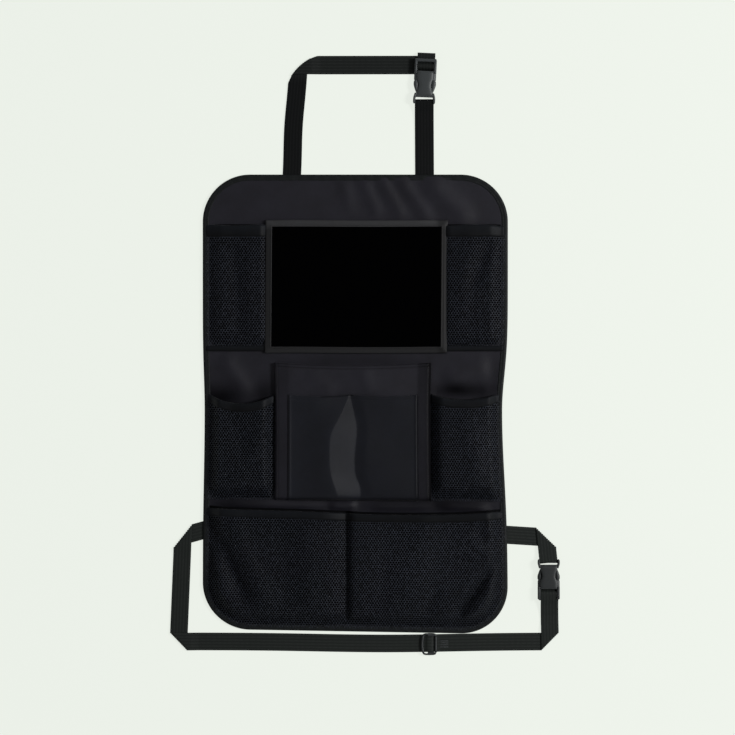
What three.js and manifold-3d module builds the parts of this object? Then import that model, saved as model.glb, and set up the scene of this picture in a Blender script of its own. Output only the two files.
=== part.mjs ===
// Car seat back organizer, laid flat on its back with its two straps spread out.
//
// Frame: +Y runs up the panel, +Z points out of the pocket side, and the origin is
// the middle of the panel's back face. All sizes are in millimetres.

import * as THREE from "three";
import { mergeVertices } from "three/addons/utils/BufferGeometryUtils.js";
import Module from "manifold-3d";

const wasm = await Module();
wasm.setup();

// Clearance between sewn or stacked pieces.
const seam = 0.3;

// Panel: the stiffened cloth back that carries everything.
const panelWidth = 400;
const panelHeight = 599;
const panelThickness = 3;
const cornerRadius = 62;
const edgeThickness = 1.4;

// Slack of the cloth: how far the sides are drawn in and the bottom edge tilts.
const leftWaist = 2.5;
const rightWaist = 7.5;
const waistY = -10;
const waistReachUp = 65;
const waistReachDown = 120;
const bottomTilt = 3.5;

// Binding tape folded round the panel's edge.
const bindingWidth = 8;
const bindingThickness = 0.5;

// Sewn edges of the pockets: a flat flange, then a rise to the front wall.
const clothThickness = 1.2;
const hemThickness = 1.9;
const flange = 2;
const midRiseShare = 0.7;
const pocketSpacing = 0.8;

// Tablet pocket: a clear window in a frame of tape.
const windowFrameWidth = 237;
const windowFrameHeight = 173;
const windowFrameTop = 238.5;
const windowTapeWidth = 8.5;
const windowTapeRise = 3.5;
const windowDepth = 6;
const filmThickness = 0.6;
const filmOverlap = 2.5;

// Mesh pockets at the sides of the window.
const upperMeshTop = 232;
const upperMeshBottom = 74;
const upperHemDepth = 14;
const upperMeshDepth = 6;
const upperMeshRise = 5;
const seamTapeDepth = 6.5;
const seamTapeThickness = 1;

// Bottle pockets of mesh below them, each with a dipping hem.
const lowerMeshTop = 11;
const lowerMeshBottom = -127;
const lowerHemDepth = 10.5;
const lowerMeshDepth = 13;
const lowerMeshRise = 9;
const leftHemDip = 12;
const rightHemDip = 7;

// Middle pocket of cloth, with a divided and pleated pocket sewn on its front.
const centrePocketLeft = -104;
const centrePocketRight = 100.3;
const centrePocketTop = 52;
const centrePocketBottom = -128;
const centrePocketSag = 4;
const centrePocketDepth = 10.5;
const centrePocketRise = 9;
const frontPocketLeft = -88.9;
const frontPocketRight = 83.5;
const frontPocketTop = 10;
const frontPocketSag = 3;
const frontPocketDepth = 8.5;
const frontPocketRise = 8;
const frontSeamX = -7;
const pleatReachLeft = 25;
const pleatReachRight = 13;
const pleatRoot = 4;
const openPleatShare = 1.3;
const closedPleatShare = 0.6;
const pleatShoulderShare = 0.8;
const pleatLean = 0.7;
const pleatFullness = 0.8;

// Wide mesh pocket across the bottom, sewn down along its middle.
const bottomMeshTop = -139;
const bottomMeshSag = 3;
const bottomHemDepth = 9.5;
const bottomMeshDepth = 15;
const bottomMeshRise = 11;
const bottomSeamX = -10.4;

// Net of the mesh walls: the share of a cell that is open, and how far a wall crowns.
const netOpenShare = 0.68;
const netCrown = 0.12;

// Webbing, and how it folds flat over itself and settles again.
const webbingThickness = 1.4;
const topWebbingWidth = 24;
const lowerWebbingWidth = 22;
const foldLap = 0.15;
const foldRun = 13;
const settleRun = 14;
const foldTuck = 3.5;
const barStep = 1;
const barRun = 12;
const sewnLap = 8;
const exitLap = 5;

// Head-rest strap, its heights taken from the panel's top.
const topLegX = -83;
const topFoldX = -75.2;
const topRunRise = 144.3;
const topRightX = 89.8;
const topRightLean = 0.9;
const topBuckleGap = 92.5;
const topTailReach = 7.5;

// Seat strap: its reach beyond the panel's sides, and its heights from the panel's foot.
const lowerLeftExitRise = 134;
const lowerLeftFoldReach = 27.2;
const lowerLeftFoldRise = 127.2;
const lowerLeftReach = 32;
const lowerRunDrop = 16;
const lowerRightReach = 53.2;
const lowerRightExitRise = 126.5;
const lowerBuckleRise = 94.9;

// Side-release buckles: the plug's base, the socket's sleeve and its ladder frame.
const topBuckle = { base: 13.2, sleeve: 29.1, ladder: 16.4, barOnTop: true };
const lowerBuckle = { base: 12, sleeve: 25.6, ladder: 15.8, barOnTop: false };
const buckleHalfWidth = 14.4;
const buckleHeight = 8;
const buckleWall = 1.8;
const buckleRail = 2;
const plugBarStart = 1.2;
const plugBarDepth = 4;
const plugBarHeight = 2.7;
const plugSlot = 4.6;
const catchShare = 0.6;
const prongTip = 7;
const prongRoot = 6.5;
const prongBulge = 13.5;
const guideHalfWidth = 2.2;
const sleeveEndWall = 1.5;
const ladderBarDepth = 3.6;
const ladderBarHeight = 2.5;
const ladderBarLift = 0.8;
const ladderEndBar = 5.2;

// Slider on the seat strap.
const sliderX = 96.9;
const sliderLength = 20.9;
const sliderWidth = 28.4;
const sliderSideBar = 4.1;
const sliderCentreBar = 4.2;
const sliderDrop = 0.8;
const sliderRail = 2;
const sliderHeight = 3.2;
const sliderCentreHeight = 1.2;
const sliderCorner = 5;

// Worked out from the sizes above.
const halfWidth = panelWidth / 2;
const halfHeight = panelHeight / 2;
const pocketSeat = panelThickness + seam;
const edgeInset = bindingWidth + seam;
const buckleFloor = webbingThickness + seam;
const buckleTop = buckleFloor + buckleHeight;
const onFloor = webbingThickness / 2;
const onWebbing = webbingThickness * 1.5 - foldLap;
const topRunY = halfHeight + topRunRise;
const lowerLeftExitY = lowerLeftExitRise - halfHeight;
const lowerLeftFold = [-halfWidth - lowerLeftFoldReach, lowerLeftFoldRise - halfHeight];
const lowerLeftX = -halfWidth - lowerLeftReach;
const lowerRunY = -halfHeight - lowerRunDrop;
const lowerRightX = halfWidth + lowerRightReach;
const lowerRightExitY = lowerRightExitRise - halfHeight;
const lowerBuckleY = lowerBuckleRise - halfHeight;

// Finishes.
const cloth = new THREE.MeshStandardMaterial({ color: 0x232327, roughness: 0.9 });
const tape = new THREE.MeshStandardMaterial({ color: 0x2b2c2e, roughness: 0.8 });
const net = new THREE.MeshStandardMaterial({ color: 0x17191d, roughness: 0.95 });
const clearFilm = new THREE.MeshStandardMaterial({ color: 0x060607, roughness: 0.3 });
const webbing = new THREE.MeshStandardMaterial({ color: 0x212326, roughness: 0.85 });
const plastic = new THREE.MeshStandardMaterial({ color: 0x33363a, roughness: 0.5 });

const organizer = new THREE.Group();

function addPiece(name, geometry, material, parent = organizer) {
  const mesh = new THREE.Mesh(geometry, material);
  mesh.name = name;
  parent.add(mesh);
}

// Closed meshes to solids for joining and cutting, and back.
function toSolid(geometry) {
  const bare = geometry.clone();
  bare.deleteAttribute("normal");
  bare.deleteAttribute("uv");
  const merged = mergeVertices(bare, 1e-4);
  const vertProperties = new Float32Array(merged.attributes.position.array);
  const triVerts = new Uint32Array(merged.index.array);
  return new wasm.Manifold(new wasm.Mesh({ numProp: 3, vertProperties, triVerts }));
}

function toGeometry(solid) {
  const mesh = solid.getMesh();
  const geometry = new THREE.BufferGeometry();
  geometry.setAttribute("position", new THREE.BufferAttribute(mesh.vertProperties, 3));
  geometry.setIndex(new THREE.BufferAttribute(mesh.triVerts, 1));
  geometry.computeVertexNormals();
  return geometry;
}

function joined(geometries) {
  return geometries.map(toSolid).reduce((whole, part) => whole.add(part));
}

function cut(solid, geometries) {
  return geometries.map(toSolid).reduce((rest, part) => rest.subtract(part), solid);
}

function prism(points, low, high) {
  const shape = new THREE.Shape(points.map(([x, y]) => new THREE.Vector2(x, y)));
  const geometry = new THREE.ExtrudeGeometry(shape, { depth: high - low, bevelEnabled: false });
  return geometry.translate(0, 0, low);
}

function block(x0, x1, y0, y1, z0, z1) {
  const geometry = new THREE.BoxGeometry(x1 - x0, y1 - y0, z1 - z0);
  return geometry.translate((x0 + x1) / 2, (y0 + y1) / 2, (z0 + z1) / 2);
}

const lerp = THREE.MathUtils.lerp;
const clamp = THREE.MathUtils.clamp;
const radians = THREE.MathUtils.degToRad;

// The soft panel as it lies: its sides drawn in at the waist, its foot a little tilted.
function relax(x, y) {
  const depth = x > 0 ? rightWaist : leftWaist;
  const reach = y > waistY ? waistReachUp : waistReachDown;
  const waist = Math.exp(-(((y - waistY) / reach) ** 2));
  const pull = depth * waist * (x / halfWidth) ** 2;
  const drop = y < 0 ? (bottomTilt * x * y) / (halfWidth * halfHeight) : 0;
  return [x - Math.sign(x) * pull, y + drop];
}

function panelSide(side, y, inset) {
  const radius = cornerRadius - inset;
  const over = clamp(Math.abs(y) - (halfHeight - cornerRadius), 0, radius);
  const rounding = radius - Math.sqrt(radius ** 2 - over ** 2);
  return side * (halfWidth - inset - rounding);
}

function panelOutline(inset) {
  const cornerSteps = 6;
  const sideSteps = 9;
  const endSteps = 4;
  const radius = cornerRadius - inset;
  const corners = [
    [1, 1],
    [-1, 1],
    [-1, -1],
    [1, -1],
  ];
  const points = [];
  corners.forEach(([sideX, sideY], corner) => {
    const centreX = sideX * (halfWidth - cornerRadius);
    const centreY = sideY * (halfHeight - cornerRadius);
    for (let step = 0; step <= cornerSteps; step++) {
      const angle = (Math.PI / 2) * (corner + step / cornerSteps);
      points.push([centreX + radius * Math.cos(angle), centreY + radius * Math.sin(angle)]);
    }
    const acrossEnd = corner % 2 === 0;
    const steps = acrossEnd ? endSteps : sideSteps;
    const [lastX, lastY] = points.at(-1);
    for (let step = 1; step < steps; step++) {
      const along = 1 - (2 * step) / steps;
      points.push(acrossEnd ? [lastX * along, lastY] : [lastX, lastY * along]);
    }
  });
  return points.map(([x, y]) => relax(x, y));
}

// Panel, thinned along its edge so that the folded tape lies flush with both faces.
const edgeLow = (panelThickness - edgeThickness) / 2;
const backPanel = joined([
  prism(panelOutline(edgeInset), 0, panelThickness),
  prism(panelOutline(bindingThickness + seam), edgeLow, edgeLow + edgeThickness),
]);
addPiece("back_panel", toGeometry(backPanel), cloth);

// Edge binding: one length of tape folded over the edge all the way round.
const binding = cut(toSolid(prism(panelOutline(0), 0, panelThickness)), [
  prism(panelOutline(bindingWidth), -1, panelThickness + 1),
  prism(panelOutline(bindingThickness), bindingThickness, panelThickness - bindingThickness),
]);
addPiece("edge_binding", toGeometry(binding), tape);

// A sheet on a grid of columns and rows. A column gives its x and its rise at a height y,
// a row gives its y and the share of that rise. A cell is plain, a gap, or net: a lozenge
// hole with cloth round it.
function sheet({ columns, rows, edge = (x, y) => y, seat = () => pocketSeat, thickness }) {
  const positions = [];
  const faces = [];
  const addPoint = (x, y, z) => {
    positions.push(x, y, z, x, y, z - thickness);
    return positions.length / 3 - 2;
  };
  const pointAt = (index) => positions.slice(index * 3, index * 3 + 3);
  const mix = (from, to, share) => from.map((value, axis) => lerp(value, to[axis], share));
  const addFace = (a, b, c) => faces.push(a, b, c, a + 1, c + 1, b + 1);
  const addWall = (from, to) => faces.push(from, from + 1, to + 1, from, to + 1, to);
  const grid = rows.map((row) =>
    columns.map((column) => {
      const x = column.x(row.y);
      const y = edge(x, row.y);
      const z = seat(x, y) + thickness + column.rise(row.y) * row.rise;
      return addPoint(...relax(x, y), z);
    }),
  );
  const kind = (i, j) => {
    if (i < 0 || j < 0 || i > columns.length - 2 || j > rows.length - 2) return "gap";
    return (rows[j].cell && columns[i].cell) || "plain";
  };
  const rim = (1 - netOpenShare) / 2;
  for (let j = 0; j < rows.length - 1; j++) {
    for (let i = 0; i < columns.length - 1; i++) {
      const corners = [grid[j][i], grid[j][i + 1], grid[j + 1][i + 1], grid[j + 1][i]];
      const [a, b, c, d] = corners;
      if (kind(i, j) === "gap") continue;
      if (kind(i, j) === "net") {
        const sides = corners.map((corner, side) =>
          mix(pointAt(corner), pointAt(corners[(side + 1) % 4]), 0.5),
        );
        const hole = sides.map((side, index) =>
          addPoint(...mix(side, sides[(index + 2) % 4], rim)),
        );
        corners.forEach((corner, side) => {
          const before = hole[(side + 3) % 4];
          addFace(corner, corners[(side + 1) % 4], hole[side]);
          addFace(corner, hole[side], before);
          addWall(hole[side], before);
        });
      } else {
        addFace(a, b, c);
        addFace(a, c, d);
      }
      if (kind(i, j - 1) === "gap") addWall(a, b);
      if (kind(i + 1, j) === "gap") addWall(b, c);
      if (kind(i, j + 1) === "gap") addWall(c, d);
      if (kind(i - 1, j) === "gap") addWall(d, a);
    }
  }
  const geometry = new THREE.BufferGeometry();
  geometry.setAttribute("position", new THREE.Float32BufferAttribute(positions, 3));
  geometry.setIndex(faces);
  geometry.computeVertexNormals();
  return geometry;
}

// Distance from a sewn edge, and the share of the pocket's depth that is reached there.
function risingSteps(rise) {
  return [
    [0, 0],
    [flange, 0],
    [flange + rise / 2, midRiseShare],
    [flange + rise, 1],
  ];
}

function riseShare(distance, rise) {
  const steps = risingSteps(rise);
  const next = steps.findIndex(([reach]) => reach > distance);
  if (next < 1) return next < 0 ? 1 : 0;
  const [from, low] = steps[next - 1];
  const [to, high] = steps[next];
  return lerp(low, high, (distance - from) / (to - from));
}

function pocketColumns({ left, right, rise, depth, count, crown = 0, cell }) {
  const steps = risingSteps(rise);
  const rising = steps.map(([inset, share]) => ({
    x: (y) => left(y) + inset,
    rise: () => share * depth,
  }));
  const falling = steps.map(([inset, share]) => ({
    x: (y) => right(y) - inset,
    rise: () => share * depth,
  }));
  rising.at(-1).cell = cell;
  const middle = Array.from({ length: count - 1 }, (_, index) => {
    const share = (index + 1) / count;
    const swell = 1 + crown * (1 - (2 * share - 1) ** 2);
    return {
      x: (y) => lerp(left(y) + flange + rise, right(y) - flange - rise, share),
      rise: () => depth * swell,
      cell,
    };
  });
  return [...rising, ...middle, ...falling.reverse()];
}

function pocketRows({ bottom, top, rise, count, cell }) {
  const rising = risingSteps(rise).map(([inset, share]) => ({ y: bottom + inset, rise: share }));
  rising.at(-1).cell = cell;
  const start = bottom + flange + rise;
  const upper = Array.from({ length: count }, (_, index) => ({
    y: lerp(start, top, (index + 1) / count),
    rise: 1,
    cell,
  }));
  return [...rising, ...upper];
}

// The open top edge of a pocket hangs by sag between its ends; its lower half lies still.
function saggingEdge({ left, right, top, bottom, sag }) {
  const middle = (top + bottom) / 2;
  const halfSpan = (right(top) - left(top)) / 2;
  const centre = (right(top) + left(top)) / 2;
  return (x, y) => {
    const across = clamp((x - centre) / halfSpan, -1, 1);
    return y - sag * (1 - across ** 2) * clamp((y - middle) / (top - middle), 0, 1);
  };
}

// A mesh wall with a hem of tape along its open edge.
function meshPocket(name, sizes) {
  const { top, hemDepth } = sizes;
  const edge = saggingEdge(sizes);
  const columns = sizes.columns ?? pocketColumns({ ...sizes, cell: "net", crown: netCrown });
  const rows = pocketRows({ ...sizes, top: top - hemDepth - seam, count: sizes.rows, cell: "net" });
  const hemRows = [
    { y: top - hemDepth, rise: 1 },
    { y: top, rise: 1 },
  ];
  addPiece(`${name}_mesh`, sheet({ columns, rows, edge, thickness: clothThickness }), net);
  addPiece(
    `${name}_hem`,
    sheet({ columns, rows: hemRows, edge, thickness: hemThickness }),
    tape,
  );
}

// Tablet pocket: a frame of tape, sewn down on three sides and open at the top.
const windowHalf = windowFrameWidth / 2;
const windowBottom = windowFrameTop - windowFrameHeight;
const tapeSteps = [
  [0, 0],
  [flange, 0],
  [flange + windowTapeRise, 1],
  [windowTapeWidth, 1],
];
const frameLeft = tapeSteps.map(([inset, share]) => ({
  x: () => inset - windowHalf,
  rise: () => share * windowDepth,
}));
const frameRight = tapeSteps.map(([inset, share]) => ({
  x: () => windowHalf - inset,
  rise: () => share * windowDepth,
}));
frameLeft.at(-1).cell = "gap";
const frameRows = tapeSteps.map(([inset, share]) => ({ y: windowBottom + inset, rise: share }));
frameRows.at(-1).cell = "gap";
frameRows.push({ y: windowFrameTop - windowTapeWidth, rise: 1 });
frameRows.push({ y: windowFrameTop, rise: 1 });
const windowFrame = sheet({
  columns: [...frameLeft, ...frameRight.reverse()],
  rows: frameRows,
  thickness: clothThickness,
});
addPiece("tablet_window_frame", windowFrame, tape);

// Clear film sewn behind the frame.
const filmInset = windowTapeWidth - filmOverlap;
const filmRise = windowDepth - seam - filmThickness;
const filmColumns = [-1, 1].map((side) => ({
  x: () => side * (windowHalf - filmInset),
  rise: () => filmRise,
}));
const filmRows = [windowBottom + filmInset, windowFrameTop - filmInset].map((y) => ({ y, rise: 1 }));
addPiece(
  "tablet_window_film",
  sheet({ columns: filmColumns, rows: filmRows, thickness: filmThickness }),
  clearFilm,
);

// Side pockets of mesh: an upper and a lower one along each edge of the panel.
for (const side of [-1, 1]) {
  const hand = side < 0 ? "left" : "right";
  const outer = (y) => panelSide(side, y, edgeInset);
  const besideWindow = () => side * (windowHalf + pocketSpacing);
  const besidePocket = () =>
    side < 0 ? centrePocketLeft - pocketSpacing : centrePocketRight + pocketSpacing;
  const upper = side < 0 ? [outer, besideWindow] : [besideWindow, outer];
  const lower = side < 0 ? [outer, besidePocket] : [besidePocket, outer];
  meshPocket(`upper_${hand}`, {
    left: upper[0],
    right: upper[1],
    top: upperMeshTop,
    bottom: upperMeshBottom,
    hemDepth: upperHemDepth,
    depth: upperMeshDepth,
    rise: upperMeshRise,
    sag: 0,
    count: 3,
    rows: 7,
  });
  meshPocket(`lower_${hand}`, {
    left: lower[0],
    right: lower[1],
    top: lowerMeshTop,
    bottom: lowerMeshBottom,
    hemDepth: lowerHemDepth,
    depth: lowerMeshDepth,
    rise: lowerMeshRise,
    sag: side < 0 ? leftHemDip : rightHemDip,
    count: 4,
    rows: 5,
  });
  const tapeTop = upperMeshBottom - seam;
  const seamTape = sheet({
    columns: upper.map((x) => ({ x, rise: () => 0 })),
    rows: [tapeTop - seamTapeDepth, tapeTop].map((y) => ({ y, rise: 0 })),
    thickness: seamTapeThickness,
  });
  addPiece(`upper_${hand}_seam_tape`, seamTape, tape);
}

// Middle pocket of cloth.
const centreSizes = {
  left: () => centrePocketLeft,
  right: () => centrePocketRight,
  top: centrePocketTop,
  bottom: centrePocketBottom,
  sag: centrePocketSag,
  depth: centrePocketDepth,
  rise: centrePocketRise,
};
const centrePocket = sheet({
  columns: pocketColumns({ ...centreSizes, count: 4 }),
  rows: pocketRows({ ...centreSizes, count: 4 }),
  edge: saggingEdge(centreSizes),
  thickness: clothThickness,
});
addPiece("centre_pocket", centrePocket, cloth);

// Front pocket: sewn down its middle, where the slack of its left half folds into a pleat.
function pleatSwell(y) {
  const share = clamp((y - centrePocketBottom) / (frontPocketTop - centrePocketBottom), 0, 1);
  return Math.sin(Math.PI * share ** pleatLean) ** pleatFullness;
}

function onCentrePocket(x, y) {
  const share = riseShare(y - centrePocketBottom, centrePocketRise);
  return pocketSeat + clothThickness + centrePocketDepth * share + seam;
}

const frontSizes = {
  left: () => frontPocketLeft,
  right: () => frontPocketRight,
  top: frontPocketTop,
  bottom: centrePocketBottom,
  sag: frontPocketSag,
  depth: frontPocketDepth,
};
const ridgeX = (y) => frontSeamX - pleatRoot - pleatReachLeft * pleatSwell(y);
const valleyX = (y) => frontSeamX + pleatReachRight * pleatSwell(y);
const frontEdges = pocketColumns({ ...frontSizes, rise: frontPocketRise, count: 1 });
const leftWall = frontPocketLeft + flange + frontPocketRise;
const rightWall = frontPocketRight - flange - frontPocketRise;
const pleatColumns = [
  {
    x: (y) => lerp(leftWall, ridgeX(y), 0.5),
    rise: () => frontPocketDepth,
  },
  {
    x: ridgeX,
    rise: (y) => frontPocketDepth * lerp(closedPleatShare, openPleatShare, pleatSwell(y)),
  },
  {
    x: valleyX,
    rise: () => 0,
  },
  {
    x: (y) => valleyX(y) + frontPocketRise,
    rise: () => frontPocketDepth * pleatShoulderShare,
  },
  {
    x: (y) => lerp(valleyX(y) + frontPocketRise, rightWall, 0.5),
    rise: () => frontPocketDepth,
  },
];
const frontPocket = sheet({
  columns: [...frontEdges.slice(0, 4), ...pleatColumns, ...frontEdges.slice(4)],
  rows: pocketRows({ ...frontSizes, rise: centrePocketRise, count: 7 }),
  edge: saggingEdge(frontSizes),
  seat: onCentrePocket,
  thickness: clothThickness,
});
addPiece("front_pocket", frontPocket, cloth);

// Bottom pocket: two halves of one mesh wall, parted by the seam down its middle.
const bottomSizes = {
  left: (y) => panelSide(-1, y, edgeInset),
  right: (y) => panelSide(1, y, edgeInset),
  top: bottomMeshTop,
  bottom: edgeInset - halfHeight,
  hemDepth: bottomHemDepth,
  sag: bottomMeshSag,
  depth: bottomMeshDepth,
  rise: bottomMeshRise,
  rows: 5,
};
const bottomHalf = { ...bottomSizes, count: 7, crown: netCrown, cell: "net" };
const bottomColumns = [
  ...pocketColumns({ ...bottomHalf, right: () => bottomSeamX }),
  ...pocketColumns({ ...bottomHalf, left: () => bottomSeamX }).slice(1),
];
meshPocket("bottom", { ...bottomSizes, columns: bottomColumns });

// A length of webbing across the given width. Its path gives [distance, middle height]
// along a heading, in degrees from +X, out of the point (x, y).
function ribbon(path, width, [x, y], heading) {
  const half = webbingThickness / 2;
  const points = path.map(([distance, height]) => new THREE.Vector2(distance, height));
  const headings = points.slice(1).map((point, index) => point.clone().sub(points[index]).normalize());
  const normals = points.map((_, index) => {
    const before = headings[Math.max(index - 1, 0)];
    const after = headings[Math.min(index, headings.length - 1)];
    const sum = new THREE.Vector2(-before.y - after.y, before.x + after.x);
    return sum.multiplyScalar(half / (1 + before.dot(after)));
  });
  const upper = points.map((point, index) => point.clone().add(normals[index]));
  const lower = points.map((point, index) => point.clone().sub(normals[index]));
  const outline = [...lower, ...upper.reverse()].map((point) => [point.x, point.y]);
  const geometry = prism(outline, -width / 2, width / 2);
  return geometry.rotateX(Math.PI / 2).rotateZ(radians(heading)).translate(x, y, 0);
}

// What a flat fold leaves off: all that lies beyond the crease between two headings.
function beyondCrease([x, y], before, after) {
  const reach = 60;
  const outward = (before + after) / 2 + (after > before ? -90 : 90);
  const geometry = block(-foldTuck, reach, -reach, reach, -1, reach);
  return geometry.rotateZ(radians(outward)).translate(x, y, 0);
}

// Webbing laid in straight runs from corner to corner, each run folded over the last one.
function foldedStrap(corners, width, humps = {}) {
  const headings = corners.slice(1).map(([x, y], index) => {
    const [fromX, fromY] = corners[index];
    return THREE.MathUtils.radToDeg(Math.atan2(y - fromY, x - fromX));
  });
  const runs = headings.map((heading, index) => {
    const [fromX, fromY] = corners[index];
    const [toX, toY] = corners[index + 1];
    const length = Math.hypot(toX - fromX, toY - fromY);
    const first = index === 0;
    const last = index === headings.length - 1;
    const start = first
      ? [[0, onFloor]]
      : [
          [-width, onWebbing],
          [foldRun, onWebbing],
          [foldRun + settleRun, onFloor],
        ];
    const finish = [last ? length : length + width, onFloor];
    const path = [...start, ...(humps[index] ?? []), finish];
    const creases = [];
    if (!first) creases.push(beyondCrease(corners[index], headings[index - 1], heading));
    if (!last) creases.push(beyondCrease(corners[index + 1], heading, headings[index + 1]));
    return cut(toSolid(ribbon(path, width, corners[index], heading)), creases);
  });
  return runs.reduce((whole, run) => whole.add(run));
}

// A strap's end starts under the panel's edge and is trimmed to lie just outside it.
function exitX(side, y) {
  return relax(panelSide(side, y, exitLap), y)[0];
}

const panelRoom = prism(panelOutline(-seam), -1, panelThickness + 1);

// Heights and places along a buckle, measured from the plug's outer end.
function buckleStations({ base, sleeve, ladder }) {
  const mouth = base + seam;
  const sleeveEnd = mouth + sleeve;
  const wrap = sleeveEnd + seam + onFloor;
  const bar = wrap + onFloor + seam;
  return {
    mouth,
    catchLine: mouth + sleeve * catchShare,
    sleeveEnd,
    wrap,
    bar,
    end: sleeveEnd + ladder,
    plugWrap: plugBarStart + plugBarDepth + seam + onFloor,
  };
}

const overPlugBar = buckleFloor + plugBarHeight + seam + onFloor;
const overLadderBar = buckleFloor + ladderBarLift + ladderBarHeight + seam + onFloor;
const bareHalf = buckleHalfWidth - buckleRail;

// Webbing sewn back on itself round the plug's bar.
function plugLoop(buckle, width, origin, heading) {
  const { plugWrap } = buckleStations(buckle);
  const path = [
    [plugWrap, 0],
    [plugWrap, overPlugBar],
    [-barStep, overPlugBar],
    [-barStep - barRun, onWebbing],
    [-barStep - barRun - sewnLap, onWebbing],
  ];
  return toSolid(ribbon(path, width, origin, heading));
}

// Webbing led over the socket's ladder bar, its end held by the end bar or lying beyond it.
function ladderLoop(buckle, width, origin, heading, tail) {
  const { wrap, end } = buckleStations(buckle);
  const start = [
    [wrap, 0],
    [wrap, overLadderBar],
  ];
  const finish = buckle.barOnTop
    ? [
        [tail, overLadderBar],
        [tail, 0],
      ]
    : [
        [end + barStep, overLadderBar],
        [end + barStep + barRun, onWebbing],
        [end + barStep + barRun + sewnLap, onWebbing],
      ];
  return toSolid(ribbon([...start, ...finish], width, origin, heading));
}

// Plug: a base with a bar for the webbing, two springing prongs and a middle guide.
function bucklePlug(buckle) {
  const { base } = buckle;
  const { catchLine } = buckleStations(buckle);
  const half = buckleHalfWidth;
  const baseSide = [
    [half - 4, 0],
    [half - 1, plugBarStart],
    [half, 4.5],
    [half, base - 5],
    [half - 1.5, base - 2],
    [half - 3.6, base],
  ];
  const mirrored = (points) => points.map(([x, y]) => [-x, y]).reverse();
  const plate = toSolid(prism([...baseSide, ...mirrored(baseSide)], buckleFloor, buckleTop));
  const barEnd = plugBarStart + plugBarDepth;
  const slotEnd = barEnd + plugSlot;
  const barTop = buckleFloor + plugBarHeight;
  const frame = cut(plate, [
    block(-bareHalf, bareHalf, -1, slotEnd, barTop, buckleTop + 1),
    block(-bareHalf, bareHalf, barEnd, slotEnd, 0, buckleTop + 1),
    block(-bareHalf, bareHalf, -1, plugBarStart, 0, buckleTop + 1),
  ]);
  const low = buckleFloor + buckleWall + seam;
  const high = buckleTop - buckleWall - seam;
  const stop = catchLine - seam;
  const inside = bareHalf - seam * 2;
  const prong = [
    [prongRoot, base - 1],
    [half - 4.2, base - 1],
    [half - 3, base + 3],
    [prongBulge, base + 8],
    [prongBulge, stop - 4],
    [prongBulge - 0.6, stop],
    [inside, stop],
    [inside, stop + prongTip - 3],
    [inside - 2.6, stop + prongTip],
    [prongRoot + 1.8, stop + prongTip - 3],
    [prongRoot + 1, base + 9],
  ];
  const guide = block(-guideHalfWidth, guideHalfWidth, base - 1, stop, low, high);
  const prongs = joined([prism(prong, low, high), prism(mirrored(prong), low, high), guide]);
  return frame.add(prongs);
}

// Socket: a flat sleeve, waisted to bare the prongs, ending in a ladder frame for webbing.
function buckleSocket(buckle) {
  const { mouth, catchLine, sleeveEnd, bar, end } = buckleStations(buckle);
  const half = buckleHalfWidth;
  const side = [
    [half - 3.5, mouth],
    [half - 4, mouth + 2.2],
    [half - 6.2, lerp(mouth, catchLine, 0.62)],
    [half - 5.4, lerp(mouth, catchLine, 0.8)],
    [bareHalf, catchLine],
    [half, catchLine + 2.5],
    [half, end - 1.5],
    [half - 1.5, end],
  ];
  const outline = [...side, ...side.map(([x, y]) => [-x, y]).reverse()];
  const low = buckleFloor + buckleWall;
  const high = buckleTop - buckleWall;
  const barLow = buckleFloor + ladderBarLift;
  const barHigh = barLow + ladderBarHeight;
  const endBar = end - ladderEndBar;
  const overWebbing = overLadderBar + onFloor + seam;
  const endGap = buckle.barOnTop
    ? [block(-bareHalf, bareHalf, endBar - 1, end + 1, 0, overWebbing)]
    : [
        block(-bareHalf, bareHalf, endBar - 1, end + 1, barHigh, buckleTop + 1),
        block(-bareHalf, bareHalf, endBar - 1, end + 1, 0, barLow),
      ];
  const shell = cut(toSolid(prism(outline, buckleFloor, buckleTop)), [
    block(-bareHalf, bareHalf, mouth - 1, sleeveEnd - sleeveEndWall, low, high),
    block(-bareHalf, bareHalf, sleeveEnd, endBar, 0, buckleTop + 1),
    ...endGap,
  ]);
  const ladderBar = block(-half + 1, half - 1, bar, bar + ladderBarDepth, barLow, barHigh);
  return shell.add(toSolid(ladderBar));
}

function addBuckle(name, buckle, [x, y], heading) {
  const group = new THREE.Group();
  group.position.set(x, y, 0);
  group.rotation.z = radians(heading - 90);
  organizer.add(group);
  addPiece(`${name}_plug`, toGeometry(bucklePlug(buckle)), plastic, group);
  addPiece(`${name}_socket`, toGeometry(buckleSocket(buckle)), plastic, group);
}

// A point at a distance along a heading.
function along([x, y], heading, distance) {
  return [
    x + distance * Math.cos(radians(heading)),
    y + distance * Math.sin(radians(heading)),
  ];
}

// Head-rest strap: a short leg with the plug, and a long leg that folds across to the socket.
const topRightFoot = [topRightX, halfHeight];
const topHeading = 90 - topRightLean;
const topOrigin = along(topRightFoot, topHeading, topBuckleGap);
const topStations = buckleStations(topBuckle);
const topLeg = [
  [-exitLap, onFloor],
  [topBuckleGap + topStations.plugWrap + onFloor, onFloor],
];
const topShort = toSolid(ribbon(topLeg, topWebbingWidth, topRightFoot, topHeading)).add(
  plugLoop(topBuckle, topWebbingWidth, topOrigin, topHeading),
);
addPiece("top_strap_short", toGeometry(cut(topShort, [panelRoom])), webbing);

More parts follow.
